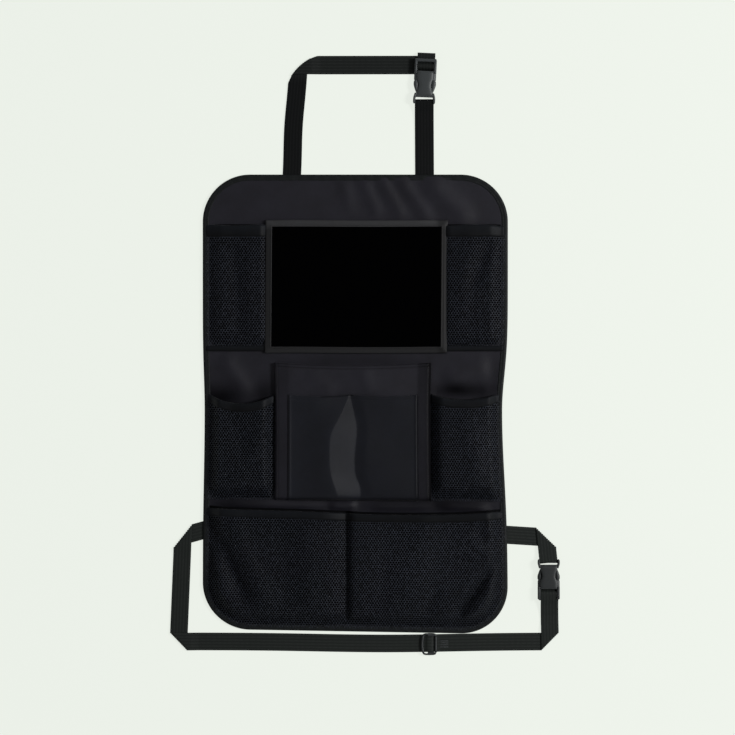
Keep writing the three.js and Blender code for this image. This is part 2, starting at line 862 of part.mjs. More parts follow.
const topTail = topStations.end + topTailReach;
const topRunEnd = along(topOrigin, topHeading, topStations.end)[0] + topWebbingWidth / 2;
const topFolds = foldedStrap(
  [
    [topLegX, halfHeight - exitLap],
    [topFoldX, topRunY],
    [topRunEnd, topRunY],
  ],
  topWebbingWidth,
);
const topUnderlap = [
  [topStations.wrap - onFloor, onFloor],
  [topTail + onFloor, onFloor],
];
const topLong = topFolds
  .add(toSolid(ribbon(topUnderlap, topWebbingWidth, topOrigin, topHeading)))
  .add(ladderLoop(topBuckle, topWebbingWidth, topOrigin, topHeading, topTail));
addPiece("top_strap_long", toGeometry(cut(topLong, [panelRoom])), webbing);
addBuckle("top_buckle", topBuckle, topOrigin, topHeading);

// Seat strap: a short arm with the plug on the right, and a long run round the foot.
const lowerOrigin = [lowerRightX, lowerBuckleY];
const lowerStations = buckleStations(lowerBuckle);
const lowerPlugEnd = lowerBuckleY - lowerStations.plugWrap - onFloor;
const lowerShort = foldedStrap(
  [
    [exitX(1, lowerRightExitY), lowerRightExitY],
    [lowerRightX, lowerRightExitY],
    [lowerRightX, lowerPlugEnd],
  ],
  lowerWebbingWidth,
).add(plugLoop(lowerBuckle, lowerWebbingWidth, lowerOrigin, -90));
addPiece("lower_strap_short", toGeometry(cut(lowerShort, [panelRoom])), webbing);

const humpTop = buckleFloor + sliderCentreHeight + seam + onFloor;
const sliderSlot = (sliderLength - 2 * sliderSideBar - sliderCentreBar) / 2;
const humpFoot = sliderCentreBar / 2 + sliderSlot - 0.25;
const humpHead = sliderCentreBar / 2 + seam;
const sliderReach = sliderX - lowerLeftX;
const sliderHump = [
  [sliderReach - humpFoot, onFloor],
  [sliderReach - humpHead, humpTop],
  [sliderReach + humpHead, humpTop],
  [sliderReach + humpFoot, onFloor],
];
const lowerLong = foldedStrap(
  [
    [exitX(-1, lowerLeftExitY), lowerLeftExitY],
    lowerLeftFold,
    [lowerLeftX, lowerRunY],
    [lowerRightX, lowerRunY],
    [lowerRightX, lowerBuckleY - lowerStations.wrap + onFloor],
  ],
  lowerWebbingWidth,
  { 2: sliderHump },
).add(ladderLoop(lowerBuckle, lowerWebbingWidth, lowerOrigin, -90));
addPiece("lower_strap_long", toGeometry(cut(lowerLong, [panelRoom])), webbing);
addBuckle("lower_buckle", lowerBuckle, lowerOrigin, -90);

// Slider: a rounded frame with a low bar across it, threaded on the seat strap.
function sliderOutline() {
  const steps = 3;
  const reachX = sliderLength / 2 - sliderCorner;
  const reachY = sliderWidth / 2 - sliderCorner;
  return Array.from({ length: 4 * (steps + 1) }, (_, index) => {
    const corner = Math.floor(index / (steps + 1));
    const angle = (Math.PI / 2) * (corner + (index % (steps + 1)) / steps);
    const [sideX, sideY] = [corner === 0 || corner === 3 ? 1 : -1, corner < 2 ? 1 : -1];
    return [
      sideX * reachX + sliderCorner * Math.cos(angle),
      sideY * reachY + sliderCorner * Math.sin(angle),
    ];
  });
}

const sliderInnerX = sliderLength / 2 - sliderSideBar;
const sliderInnerY = sliderWidth / 2 - sliderRail;
const sliderTop = buckleFloor + sliderHeight;
const sliderBarTop = buckleFloor + sliderCentreHeight;
const sliderFrame = cut(toSolid(prism(sliderOutline(), buckleFloor, sliderTop)), [
  block(-sliderInnerX, sliderInnerX, -sliderInnerY, sliderInnerY, 0, sliderTop + 1),
]);
const centreBar = block(
  -sliderCentreBar / 2,
  sliderCentreBar / 2,
  -sliderInnerY - 1,
  sliderInnerY + 1,
  buckleFloor,
  sliderBarTop,
);
const slider = toGeometry(sliderFrame.add(toSolid(centreBar)));
addPiece("strap_slider", slider.translate(sliderX, lowerRunY - sliderDrop, 0), plastic);

export default organizer;
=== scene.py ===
import math

import bpy
import numpy as np
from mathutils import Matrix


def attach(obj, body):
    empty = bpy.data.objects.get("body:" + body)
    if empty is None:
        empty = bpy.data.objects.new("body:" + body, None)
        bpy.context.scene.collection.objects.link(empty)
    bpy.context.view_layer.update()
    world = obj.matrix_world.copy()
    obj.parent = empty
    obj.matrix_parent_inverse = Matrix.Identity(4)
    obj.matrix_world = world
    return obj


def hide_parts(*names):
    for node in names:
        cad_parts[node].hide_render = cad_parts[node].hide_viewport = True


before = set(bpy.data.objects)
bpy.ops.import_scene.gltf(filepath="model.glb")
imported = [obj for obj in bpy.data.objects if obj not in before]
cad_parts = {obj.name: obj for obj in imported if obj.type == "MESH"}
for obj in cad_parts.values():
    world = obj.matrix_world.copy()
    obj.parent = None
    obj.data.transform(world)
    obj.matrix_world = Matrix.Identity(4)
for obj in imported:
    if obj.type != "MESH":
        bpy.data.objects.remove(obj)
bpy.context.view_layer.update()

# Table, camera and light
# The organizer lies flat on a pale table and is seen from straight above through a long
# lens. A soft light stands to its right, and the pale room lights it from all round.
picture_width = 0.9639
picture_centre = (0.0160, 0.0466)
camera_height = 3.2
sensor_width = 36.0
pale_table = (0.8388, 0.8796, 0.8148, 1.0)
room_strength = 0.44
key_strength = 3.1
key_elevation = math.radians(38)
key_heading = math.radians(8)
key_distance = 4.0
key_size = 1.0
glow_share = 0.88
table_glow = 1.017
table_half_size = 12.0
table_height = -0.0004
hole_edge = math.radians(30)
hole_core = math.radians(14)
hole_strength = 0.02

camera_data = bpy.data.cameras.new("camera")
camera_data.sensor_width = sensor_width
camera_data.lens = sensor_width * camera_height / picture_width
camera = bpy.data.objects.new("camera", camera_data)
camera.location = (picture_centre[0], picture_centre[1], camera_height)
bpy.context.scene.collection.objects.link(camera)
bpy.context.scene.camera = camera
bpy.context.scene.view_settings.view_transform = "Standard"

key_data = bpy.data.lights.new("key_light", "AREA")
key_data.shape = "DISK"
key_data.size = key_size
key_data.energy = key_strength * math.pi * key_distance**2
key = bpy.data.objects.new("key_light", key_data)
key.rotation_euler = (0.0, math.pi / 2 - key_elevation, key_heading)
key.location = (
    picture_centre[0] + key_distance * math.cos(key_elevation) * math.cos(key_heading),
    key_distance * math.cos(key_elevation) * math.sin(key_heading),
    key_distance * math.sin(key_elevation),
)
bpy.context.scene.collection.objects.link(key)


def new_material(name):
    material = bpy.data.materials.new(name)
    material.use_nodes = True
    nodes = material.node_tree.nodes
    return material, nodes, material.node_tree.links, nodes["Principled BSDF"]


# The room is pale all round, with a dark hole overhead where the camera looks in.
room = bpy.data.worlds.new("room")
room.use_nodes = True
bpy.context.scene.world = room
sky_nodes = room.node_tree.nodes
sky_links = room.node_tree.links
background = sky_nodes["Background"]
direction = sky_nodes.new("ShaderNodeTexCoord")
height = sky_nodes.new("ShaderNodeSeparateXYZ")
hole = sky_nodes.new("ShaderNodeMapRange")
hole.interpolation_type = "SMOOTHSTEP"
hole.inputs["From Min"].default_value = math.cos(hole_edge)
hole.inputs["From Max"].default_value = math.cos(hole_core)
hole.inputs["To Min"].default_value = room_strength
hole.inputs["To Max"].default_value = hole_strength
ray = sky_nodes.new("ShaderNodeLightPath")
strength = sky_nodes.new("ShaderNodeMix")
sky_links.new(direction.outputs["Generated"], height.inputs[0])
sky_links.new(height.outputs["Z"], hole.inputs["Value"])
sky_links.new(ray.outputs["Is Camera Ray"], strength.inputs["Factor"])
sky_links.new(hole.outputs["Result"], strength.inputs["A"])
strength.inputs["B"].default_value = 1.0
sky_links.new(strength.outputs["Result"], background.inputs["Strength"])
tint = sky_nodes.new("ShaderNodeMix")
tint.data_type = "RGBA"
tint.inputs["A"].default_value = (1.0, 1.0, 1.0, 1.0)
tint.inputs["B"].default_value = pale_table
sky_links.new(ray.outputs["Is Camera Ray"], tint.inputs["Factor"])
sky_links.new(tint.outputs["Result"], background.inputs["Color"])

table_material, nodes, links, surface = new_material("pale_table")
surface.inputs["Base Color"].default_value = pale_table
surface.inputs["Roughness"].default_value = 1.0
surface.inputs["Specular IOR Level"].default_value = 0.0
# Seen by the camera, in a gloss or through film, the table is nearly as pale all over: a
# faint shadow stays on it.
glow = nodes.new("ShaderNodeEmission")
glow.inputs["Color"].default_value = pale_table
glow.inputs["Strength"].default_value = table_glow
seen = nodes.new("ShaderNodeLightPath")
seen_any = nodes.new("ShaderNodeMath")
seen_any.operation = "MAXIMUM"
seen_through = nodes.new("ShaderNodeMath")
seen_through.operation = "MAXIMUM"
seen_share = nodes.new("ShaderNodeMath")
seen_share.operation = "MULTIPLY"
seen_share.inputs[1].default_value = glow_share
table_mix = nodes.new("ShaderNodeMixShader")
links.new(seen.outputs["Is Camera Ray"], seen_any.inputs[0])
links.new(seen.outputs["Is Glossy Ray"], seen_any.inputs[1])
links.new(seen_any.outputs["Value"], seen_through.inputs[0])
links.new(seen.outputs["Is Transmission Ray"], seen_through.inputs[1])
links.new(seen_through.outputs["Value"], seen_share.inputs[0])
links.new(seen_share.outputs["Value"], table_mix.inputs["Fac"])
links.new(surface.outputs["BSDF"], table_mix.inputs[1])
links.new(glow.outputs["Emission"], table_mix.inputs[2])
links.new(table_mix.outputs["Shader"], nodes["Material Output"].inputs["Surface"])
table_mesh = bpy.data.meshes.new("table")
table_corners = [(-1, -1), (1, -1), (1, 1), (-1, 1)]
table_mesh.from_pydata(
    [(x * table_half_size, y * table_half_size, table_height) for x, y in table_corners],
    [],
    [(0, 1, 2, 3)],
)
table_mesh.materials.append(table_material)
table = bpy.data.objects.new("table", table_mesh)
bpy.context.scene.collection.objects.link(table)

# Panel
# The back that carries everything: black woven polyester stiffened inside, 60 cm high and
# 40 cm wide with round corners. Its sides are drawn in a little where it lies.
panel_half_width = 0.200
panel_half_height = 0.2995
corner_radius = 0.062
panel_top = 0.003
left_waist = 0.0025
right_waist = 0.0075
waist_height = -0.010
waist_reach_up = 0.065
waist_reach_down = 0.120
foot_tilt = 0.0035
cloth_under_binding = 0.003
panel_thickness = 0.0026
panel_swell = 0.0003
panel_dent_limit = 0.0008
flat_beside_edge = 0.030


def relaxed(x, y):
    """The panel's points as the cloth lies: sides drawn in at the waist, foot tilted."""
    depth = np.where(x > 0, right_waist, left_waist)
    reach = np.where(y > waist_height, waist_reach_up, waist_reach_down)
    waist = np.exp(-(((y - waist_height) / reach) ** 2))
    pull = depth * waist * (x / panel_half_width) ** 2
    drop = np.where(y < 0, foot_tilt * x * y / (panel_half_width * panel_half_height), 0.0)
    return x - np.sign(x) * pull, y + drop


def panel_side(y, inset):
    """Half the panel's width at a height, less an inset from its edge."""
    radius = corner_radius - inset
    over = np.clip(np.abs(y) - (panel_half_height - corner_radius), 0, radius)
    return panel_half_width - inset - radius + np.sqrt(radius**2 - over**2)


def smooth(value):
    """Eases from 0 to 1 while a value goes from 0 to 1."""
    share = np.clip(value, 0.0, 1.0)
    return share * share * (3 - 2 * share)


def crease(x, y, start, end, height, width):
    """A soft fold along a line: how far it lifts the cloth, dying out towards its ends."""
    along_x, along_y = end[0] - start[0], end[1] - start[1]
    length = math.hypot(along_x, along_y)
    along = ((x - start[0]) * along_x + (y - start[1]) * along_y) / length**2
    across = ((y - start[1]) * along_x - (x - start[0]) * along_y) / length
    ends = smooth((along + 0.15) / 0.35) * smooth((1.15 - along) / 0.35)
    return height * np.exp(-((across / width) ** 2)) * ends


def all_creases(x, y, creases):
    return sum(crease(x, y, *fold) for fold in creases)


# Folds of the panel's cloth: start, end, height and half width of each.
panel_creases = [
    ((-0.016, 0.292), (-0.006, 0.250), 0.0010, 0.009),
    ((0.010, 0.292), (0.030, 0.246), 0.0014, 0.008),
    ((0.034, 0.294), (0.062, 0.244), 0.0017, 0.008),
    ((0.058, 0.294), (0.098, 0.240), 0.0018, 0.009),
    ((0.094, 0.290), (0.150, 0.238), 0.0028, 0.015),
    ((-0.174, 0.060), (-0.144, 0.012), 0.0026, 0.012),
    ((0.120, 0.030), (0.176, 0.050), 0.0022, 0.014),
    ((0.108, 0.012), (0.168, 0.016), -0.0022, 0.010),
    ((-0.170, -0.1335), (-0.046, -0.1350), 0.0034, 0.0045),
    ((-0.032, -0.1345), (0.000, -0.1340), 0.0044, 0.0050),
    ((0.022, -0.1350), (0.100, -0.1345), 0.0030, 0.0045),
    ((0.112, -0.1330), (0.175, -0.1360), 0.0038, 0.0050),
]


def panel_height(x, y):
    """The height of the panel's face, with its soft folds and a slight unevenness."""
    swell = panel_swell * np.sin(31 * x + 17 * y) * np.sin(23 * y - 11 * x + 1.3)
    lift = all_creases(x, y, panel_creases)
    inside = smooth((panel_side(y, 0.0) - np.abs(x)) / flat_beside_edge)
    return panel_top + np.maximum((swell + lift) * inside, -panel_dent_limit)


def add_object(name, points, faces, material):
    """A piece of the organizer from its points and faces, shaded smooth."""
    mesh = bpy.data.meshes.new(name)
    face_list = faces if isinstance(faces, list) else faces.tolist()
    mesh.from_pydata(np.asarray(points).tolist(), [], face_list)
    mesh.materials.append(material)
    mesh.polygons.foreach_set("use_smooth", [True] * len(mesh.polygons))
    mesh.validate()
    mesh.update()
    piece = bpy.data.objects.new(name, mesh)
    bpy.context.scene.collection.objects.link(piece)
    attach(piece, "root")
    return piece


def grid_faces(rows, columns, start=0):
    """Four-sided faces over a grid of points, numbered from a start."""
    index = np.arange(rows * columns).reshape(rows, columns) + start
    corners = (index[:-1, :-1], index[:-1, 1:], index[1:, 1:], index[1:, :-1])
    return np.stack([corner.ravel() for corner in corners], axis=1)


def cloth(name, grid, thickness, material):
    """A sheet of cloth with folded-over, rounded edges. The grid is its upper face."""
    rows, columns = grid.shape[:2]
    down_rows = np.gradient(grid, axis=0)
    along_columns = np.gradient(grid, axis=1)
    normal = np.cross(along_columns, down_rows)
    normal /= np.linalg.norm(normal, axis=2, keepdims=True)
    lower = grid - normal * thickness
    count = rows * columns
    index = np.arange(count).reshape(rows, columns)
    rim = np.concatenate([index[0, :-1], index[:-1, -1], index[-1, :0:-1], index[:0:-1, 0]])
    upper_points = grid.reshape(-1, 3)
    lower_points = lower.reshape(-1, 3)
    middle = (upper_points[rim] + lower_points[rim]) / 2
    ahead = np.roll(middle, -1, axis=0) - np.roll(middle, 1, axis=0)
    outward = np.cross(ahead, normal.reshape(-1, 3)[rim])
    outward /= np.linalg.norm(outward, axis=1, keepdims=True) + 1e-12
    middle = middle + outward * thickness / 2
    middle_index = 2 * count + np.arange(len(rim))
    following = np.roll(np.arange(len(rim)), -1)
    upper_faces = grid_faces(rows, columns)
    lower_faces = grid_faces(rows, columns, count)[:, ::-1]
    over_rim = np.stack(
        [rim[following], rim, middle_index, middle_index[following]], axis=1
    )
    under_rim = np.stack(
        [middle_index[following], middle_index, rim + count, rim[following] + count], axis=1
    )
    points = np.concatenate([upper_points, lower_points, middle])
    faces = np.concatenate([upper_faces, lower_faces, over_rim, under_rim])
    return add_object(name, points, faces, material)


wave_unit = 0.314
mottle_contrast = 1.25
between_threads = (0.62, 0.62, 0.62, 1.0)


def noise(material, scale, detail=2.0, roughness=0.5, coordinate="Object"):
    """Fine unevenness that stays with the piece: the noise's value at each point."""
    nodes = material.node_tree.nodes
    place = nodes.new("ShaderNodeTexCoord")
    texture = nodes.new("ShaderNodeTexNoise")
    texture.inputs["Scale"].default_value = scale
    texture.inputs["Detail"].default_value = detail
    texture.inputs["Roughness"].default_value = roughness
    material.node_tree.links.new(place.outputs[coordinate], texture.inputs["Vector"])
    return texture.outputs["Fac"]


def waves(material, place, axis, pitch, distortion, detail=2.0):
    """Threads or ribs side by side at a pitch: the wave's value at each point."""
    wave = material.node_tree.nodes.new("ShaderNodeTexWave")
    wave.bands_direction = axis
    wave.inputs["Scale"].default_value = wave_unit / pitch
    wave.inputs["Distortion"].default_value = distortion
    wave.inputs["Detail"].default_value = detail
    material.node_tree.links.new(place, wave.inputs["Vector"])
    return wave.outputs["Fac"]


def product(material, one, two):
    """Two values multiplied at each point."""
    times = material.node_tree.nodes.new("ShaderNodeMath")
    times.operation = "MULTIPLY"
    material.node_tree.links.new(one, times.inputs[0])
    material.node_tree.links.new(two, times.inputs[1])
    return times.outputs["Value"]


def two_tones(material, value, dark, pale, low=0.0, high=1.0):
    """A colour between two tones, by a value between low and high."""
    ramp = material.node_tree.nodes.new("ShaderNodeValToRGB")
    ramp.color_ramp.elements[0].position = low
    ramp.color_ramp.elements[0].color = (*dark, 1.0)
    ramp.color_ramp.elements[1].position = high
    ramp.color_ramp.elements[1].color = (*pale, 1.0)
    material.node_tree.links.new(value, ramp.inputs["Fac"])
    return ramp.outputs["Color"]


def add_relief(material, height, strength, distance, sunk=False):
    """Bumps where a value is high on a material's surface, or hollows there."""
    bump = material.node_tree.nodes.new("ShaderNodeBump")
    bump.invert = sunk
    bump.inputs["Strength"].default_value = strength
    bump.inputs["Distance"].default_value = distance
    surface = material.node_tree.nodes["Principled BSDF"]
    material.node_tree.links.new(height, bump.inputs["Height"])
    material.node_tree.links.new(bump.outputs["Normal"], surface.inputs["Normal"])


def set_gloss(material, roughness, specular):
    surface = material.node_tree.nodes["Principled BSDF"]
    surface.inputs["Roughness"].default_value = roughness
    surface.inputs["Specular IOR Level"].default_value = specular


def scale_colour(material, share):
    """Makes a material's colour paler or darker by a share that varies over it."""
    nodes = material.node_tree.nodes
    links = material.node_tree.links
    colour = nodes["Principled BSDF"].inputs["Base Color"]
    scaled = nodes.new("ShaderNodeVectorMath")
    scaled.operation = "SCALE"
    links.new(colour.links[0].from_socket, scaled.inputs[0])
    links.new(share, scaled.inputs["Scale"])
    links.new(scaled.outputs["Vector"], colour)


def woven_material(name, colour, roughness, thread, relief, specular=0.18):
    """Woven cloth: threads crossing at right angles, with a soft unevenness of tone."""
    material, nodes, links, surface = new_material(name)
    place = nodes.new("ShaderNodeTexCoord").outputs["Object"]
    warp = waves(material, place, "X", thread, 0.6, 1.0)
    weft = waves(material, place, "Y", thread, 0.6, 1.0)
    crossing = product(material, warp, weft)
    mottle = noise(material, 28.0, 6.0, 0.65)
    dark = [channel / mottle_contrast for channel in colour]
    pale = [channel * mottle_contrast for channel in colour]
    between = nodes.new("ShaderNodeMix")
    between.data_type = "RGBA"
    between.blend_type = "MULTIPLY"
    between.inputs["B"].default_value = between_threads
    links.new(crossing, between.inputs["Factor"])
    links.new(two_tones(material, mottle, dark, pale, 0.30, 0.70), between.inputs["A"])
    links.new(between.outputs["Result"], surface.inputs["Base Color"])
    add_relief(material, crossing, 0.6, relief, sunk=True)
    set_gloss(material, roughness, specular)
    surface.inputs["Sheen Weight"].default_value = 0.03
    surface.inputs["Sheen Roughness"].default_value = 0.4
    return material


def let_shade(material, gloss):
    """Paints shade into a cloth's colour and gloss where its points carry a shade, and light where
    it is below 0.
    """
    nodes = material.node_tree.nodes
    links = material.node_tree.links
    shade = nodes.new("ShaderNodeAttribute")
    shade.attribute_name = "shade"
    unshaded = nodes.new("ShaderNodeMath")
    unshaded.operation = "SUBTRACT"
    unshaded.inputs[0].default_value = 1.0
    shaded_gloss = nodes.new("ShaderNodeMath")
    shaded_gloss.operation = "MULTIPLY"
    shaded_gloss.inputs[1].default_value = gloss
    surface = nodes["Principled BSDF"]
    links.new(shade.outputs["Fac"], unshaded.inputs[1])
    links.new(unshaded.outputs["Value"], shaded_gloss.inputs[0])
    links.new(shaded_gloss.outputs["Value"], surface.inputs["Specular IOR Level"])
    scale_colour(material, unshaded.outputs["Value"])


def store_shade(piece, values):
    layer = piece.data.attributes.new("shade", "FLOAT", "POINT")
    layer.data.foreach_set("value", np.clip(values, -0.9, 0.85).astype(np.float32))


def shade_patches(piece, patches):
    """Shade on a piece's points from soft patches: middle x and y, reach in x and y, depth."""
    count = len(piece.data.vertices)
    places = np.empty(count * 3, np.float32)
    piece.data.vertices.foreach_get("co", places)
    x, y = places.reshape(-1, 3)[:, :2].T
    shade = np.zeros(count, np.float32)
    for middle_x, middle_y, reach_x, reach_y, depth in patches:
        along_x = (x - middle_x) / reach_x
        along_y = (y - middle_y) / reach_y
        shade += depth * np.exp(-(along_x**2) - along_y**2)
    store_shade(piece, shade)


def shade_grid(piece, grid):
    """Shade on a sheet of cloth: the same on both its faces, and at its rim."""
    rim = np.concatenate([grid[0, :-1], grid[:-1, -1], grid[-1, :0:-1], grid[:0:-1, 0]])
    store_shade(piece, np.concatenate([grid.ravel(), grid.ravel(), rim]))


def soft_line(distance, depth, reach):
    """A ridge of a depth and a reach, where the distance from its line is 0."""
    return depth * np.exp(-((distance / reach) ** 2))


panel_cloth = woven_material("panel_cloth", (0.0092, 0.0088, 0.0130), 0.50, 0.0007, 0.00012)
let_shade(panel_cloth, 0.18)
# Painted shade: darker patches above the pockets' mouths, where the panel lies behind them.
panel_shades = [
    (-0.172, 0.008, 0.026, 0.017, 0.78),
    (-0.196, 0.014, 0.014, 0.020, 0.30),
    (-0.118, 0.012, 0.017, 0.020, 0.60),
    (0.140, 0.0165, 0.045, 0.0100, 0.72),
    (0.128, 0.020, 0.014, 0.009, 0.20),
    (0.186, 0.034, 0.009, 0.026, 0.30),
    (-0.165, -0.131, 0.045, 0.012, 0.46),
    (0.026, -0.133, 0.046, 0.010, 0.26),
    (0.122, -0.131, 0.058, 0.012, 0.62),
    (0.000, 0.0560, 0.095, 0.007, 0.26),
]


def panel_face():
    """A grid over the panel: rows close together in the corners, where its sides curve."""
    corner = np.linspace(0, math.pi / 2, 18)
    radius = corner_radius - cloth_under_binding
    foot = -panel_half_height + corner_radius - radius * np.sin(corner[::-1])
    side = np.linspace(-panel_half_height + corner_radius, panel_half_height - corner_radius, 110)
    heights = np.concatenate([foot[:-1], side, -foot[::-1][1:]])
    across = np.linspace(-1, 1, 110)
    y = np.repeat(heights[:, None], len(across), axis=1)
    x = across[None, :] * panel_side(y, cloth_under_binding)
    z = panel_height(x, y)
    x, y = relaxed(x, y)
    return np.stack([x, y, z], axis=2)


panel = cloth("panel_sheet", panel_face(), panel_thickness, panel_cloth)
shade_patches(panel, panel_shades)
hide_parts("back_panel")

# Edge binding
# One length of ribbed tape folded over the panel's edge all round and sewn through with a
# row of black thread near its inner edge. It puckers a little round the corners.
binding_pucker = 0.00018
# The tape's section: distance in from the panel's edge, and height.
binding_profile = [
    (0.0080, 0.0031),
    (0.0077, 0.0035),
    (0.0066, 0.0036),
    (0.0058, 0.0033),
    (0.0040, 0.0037),
    (0.0016, 0.0037),
    (0.0004, 0.0028),
    (0.0000, 0.0017),
    (0.0003, 0.0006),
    (0.0014, 0.0000),
    (0.0074, 0.0000),
    (0.0080, 0.0004),
]


def panel_edge(inset, spacing=0.0025):
    """Points round the panel's edge, counter-clockwise from the lower right corner."""
    radius = corner_radius - inset
    arc_steps = round(corner_radius * math.pi / 2 / spacing)
    side_steps = round(2 * (panel_half_height - corner_radius) / spacing)
    end_steps = round(2 * (panel_half_width - corner_radius) / spacing)
    points = []
    for corner, (side_x, side_y) in enumerate([(1, 1), (-1, 1), (-1, -1), (1, -1)]):
        centre_x = side_x * (panel_half_width - corner_radius)
        centre_y = side_y * (panel_half_height - corner_radius)
        for step in range(arc_steps):
            angle = math.pi / 2 * (corner + step / arc_steps)
            points.append(
                (centre_x + radius * math.cos(angle), centre_y + radius * math.sin(angle))
            )
        angle = math.pi / 2 * (corner + 1)
        start = (centre_x + radius * math.cos(angle), centre_y + radius * math.sin(angle))
        steps = end_steps if corner % 2 == 0 else side_steps
        for step in range(steps):
            share = step / steps
            if corner % 2 == 0:
                points.append((start[0] * (1 - 2 * share), start[1]))
            else:
                points.append((start[0], start[1] * (1 - 2 * share)))
    x, y = np.array(points).T
    return x, y


def closed_band(name, loops, material):
    """A tape that runs round and meets itself. Each loop of points is one line along it."""
    band = np.stack(loops)
    lines, count = band.shape[:2]
    index = np.arange(lines * count).reshape(lines, count)
    ahead = np.roll(index, -1, axis=1)
    beside = np.roll(index, -1, axis=0)
    across = np.roll(beside, -1, axis=1)
    faces = np.stack([index.ravel(), ahead.ravel(), across.ravel(), beside.ravel()], axis=1)
    return add_object(name, band.reshape(-1, 3), faces, material)


def tape_material(name, colour, rib, relief, gloss):
    """Ribbed tape, its ribs across it, a little glossier than the panel's cloth."""
    material, nodes, links, surface = new_material(name)
    place = nodes.new("ShaderNodeTexCoord").outputs["Object"]
    ribs = waves(material, place, "DIAGONAL", rib, 1.5)
    ribs_and_grain = nodes.new("ShaderNodeMath")
    ribs_and_grain.operation = "MULTIPLY_ADD"
    ribs_and_grain.inputs[1].default_value = 0.5
    links.new(ribs, ribs_and_grain.inputs[0])
    links.new(noise(material, 900.0), ribs_and_grain.inputs[2])
    height = ribs_and_grain.outputs["Value"]
    dark = [channel * 0.72 for channel in colour]
    pale = [channel * 1.3 for channel in colour]
    links.new(two_tones(material, height, dark, pale, 0.35, 0.95), surface.inputs["Base Color"])
    add_relief(material, height, 0.5, relief)
    set_gloss(material, 0.55, gloss)
    return material


binding_tape = tape_material("binding_tape", (0.0062, 0.0072, 0.0074), 0.0006, 0.0001, 0.10)


def binding_loop(inset, z):
    """One line along the binding, with its slight puckers."""
    x, y = panel_edge(inset)
    pucker = binding_pucker * np.sin(np.arange(len(x)) * 1.1) * (z > 0.002)
    x, y = relaxed(x, y)
    return np.stack([x, y, np.full(len(x), z) + pucker], axis=1)


binding = closed_band(
    "edge_binding_tape", [binding_loop(*line) for line in reversed(binding_profile)], binding_tape
)
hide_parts("edge_binding")

stitch_thread = tape_material("stitch_thread", (0.012, 0.012, 0.013), 0.0003, 0.00005, 0.2)
stitch_length = 0.0024
stitch_gap = 0.0009
thread_radius = 0.00022
thread_sides = 5
# Along one stitch: the share of its length, and how full the thread is there.
stitch_places = np.array([0.0, 0.12, 0.5, 0.88, 1.0])
stitch_fullness = np.array([0.25, 0.85, 1.0, 0.85, 0.25])


def stitches(name, lines, length=stitch_length, radius=thread_radius):
    """Rows of lock stitches: a short thread on each step along the given lines."""
    points, faces = [], []
    pitch = length + stitch_gap
    per_side = len(stitch_places)
    for line in lines:
        line = np.asarray(line, float)
        steps = np.linalg.norm(np.diff(line, axis=0), axis=1)
        lengths = np.concatenate([[0], np.cumsum(steps)])
        for number in range(int(lengths[-1] / pitch)):
            at = number * pitch + stitch_places * length
            spine = np.stack([np.interp(at, lengths, line[:, axis]) for axis in range(3)], axis=1)
            heading = spine[-1] - spine[0]
            heading /= np.linalg.norm(heading) + 1e-12
            side = np.cross((0, 0, 1), heading)
            side /= np.linalg.norm(side) + 1e-12
            up = np.cross(heading, side)
            ring = []
            for angle in np.arange(thread_sides) * 2 * math.pi / thread_sides:
                offset = side * math.cos(angle) + up * math.sin(angle)
                ring.append(spine + stitch_fullness[:, None] * offset * radius)
            base = len(points) * thread_sides * per_side
            points.append(np.concatenate(ring))
            for turn in range(thread_sides):
                for step in range(per_side - 1):
                    a = base + turn * per_side + step
                    b = base + (turn + 1) % thread_sides * per_side + step
                    faces.append((a, a + 1, b + 1, b))
    return add_object(name, np.concatenate(points), faces, stitch_thread)


def edge_stitch_line(inset, z):
    """The row of stitches beside the binding's inner edge."""
    x, y = panel_edge(inset)
    x, y = relaxed(x, y)
    line = np.stack([x, y, np.full(len(x), z)], axis=1)
    return np.concatenate([line, line[:1]])


binding_stitches = stitches("binding_stitches", [edge_stitch_line(0.0060, 0.0035)])

# Tablet window
# Clear soft film sewn behind a frame of ribbed tape. The frame is stitched to the panel on
# three sides, and its top stands off a little, where a tablet slides in.
frame_left = -0.1190
frame_right = 0.1202
frame_top = 0.2395
frame_foot = 0.0648
frame_lean = 0.0014
mouth_lift = 0.0028
frame_waver = 0.0004
frame_unevenness = 0.0003
# How long the frame's sides are along the middle of the tape: upright, and across.
frame_lengths = (0.173, 0.237)
film_inset = 0.0070
film_height = 0.0079
film_thickness = 0.0005
film_waviness = 0.0003
# The frame's section: distance in from its outer edge, and height.
frame_profile = [
    (0.0000, 0.0034),
    (0.0003, 0.0058),
    (0.0010, 0.0069),
    (0.0018, 0.0072),
    (0.0028, 0.0073),
    (0.0040, 0.0077),
    (0.0052, 0.0080),
    (0.0062, 0.0079),
    (0.0070, 0.0082),
    (0.0080, 0.0088),
    (0.0087, 0.0086),
    (0.0088, 0.0079),
    (0.0040, 0.0052),
    (0.0004, 0.0031),
]


def frame_loop(inset, z, spacing=0.003):
    """A line round the window frame, counter-clockwise from its lower right corner."""
    corners = [
        (frame_right - inset, frame_foot + inset),
        (frame_right - inset, frame_top - inset),
        (frame_left + inset, frame_top - inset),
        (frame_left + inset, frame_foot + inset),
    ]
    steps = [round(length / spacing) for length in frame_lengths] * 2
    lines = []
    for side, count in enumerate(steps):
        share = np.arange(count)[:, None] / count
        start, end = np.array(corners[side]), np.array(corners[(side + 1) % 4])
        lines.append(start * (1 - share) + end * share)
    x, y = np.concatenate(lines).T
    lean = frame_lean * (y - frame_foot) / (frame_top - frame_foot)
    waver = frame_waver * np.sin(29 * x + 1.0) * np.cos(37 * y)
    open_top = smooth((y - frame_top + 0.016) / 0.012) * smooth((0.112 - np.abs(x)) / 0.030)
    lift = mouth_lift * open_top * (1 - inset / 0.0100)
    z = z + lift + frame_unevenness * np.sin(41 * x + 33 * y)
    return np.stack([x + lean, y + waver, z], axis=1)


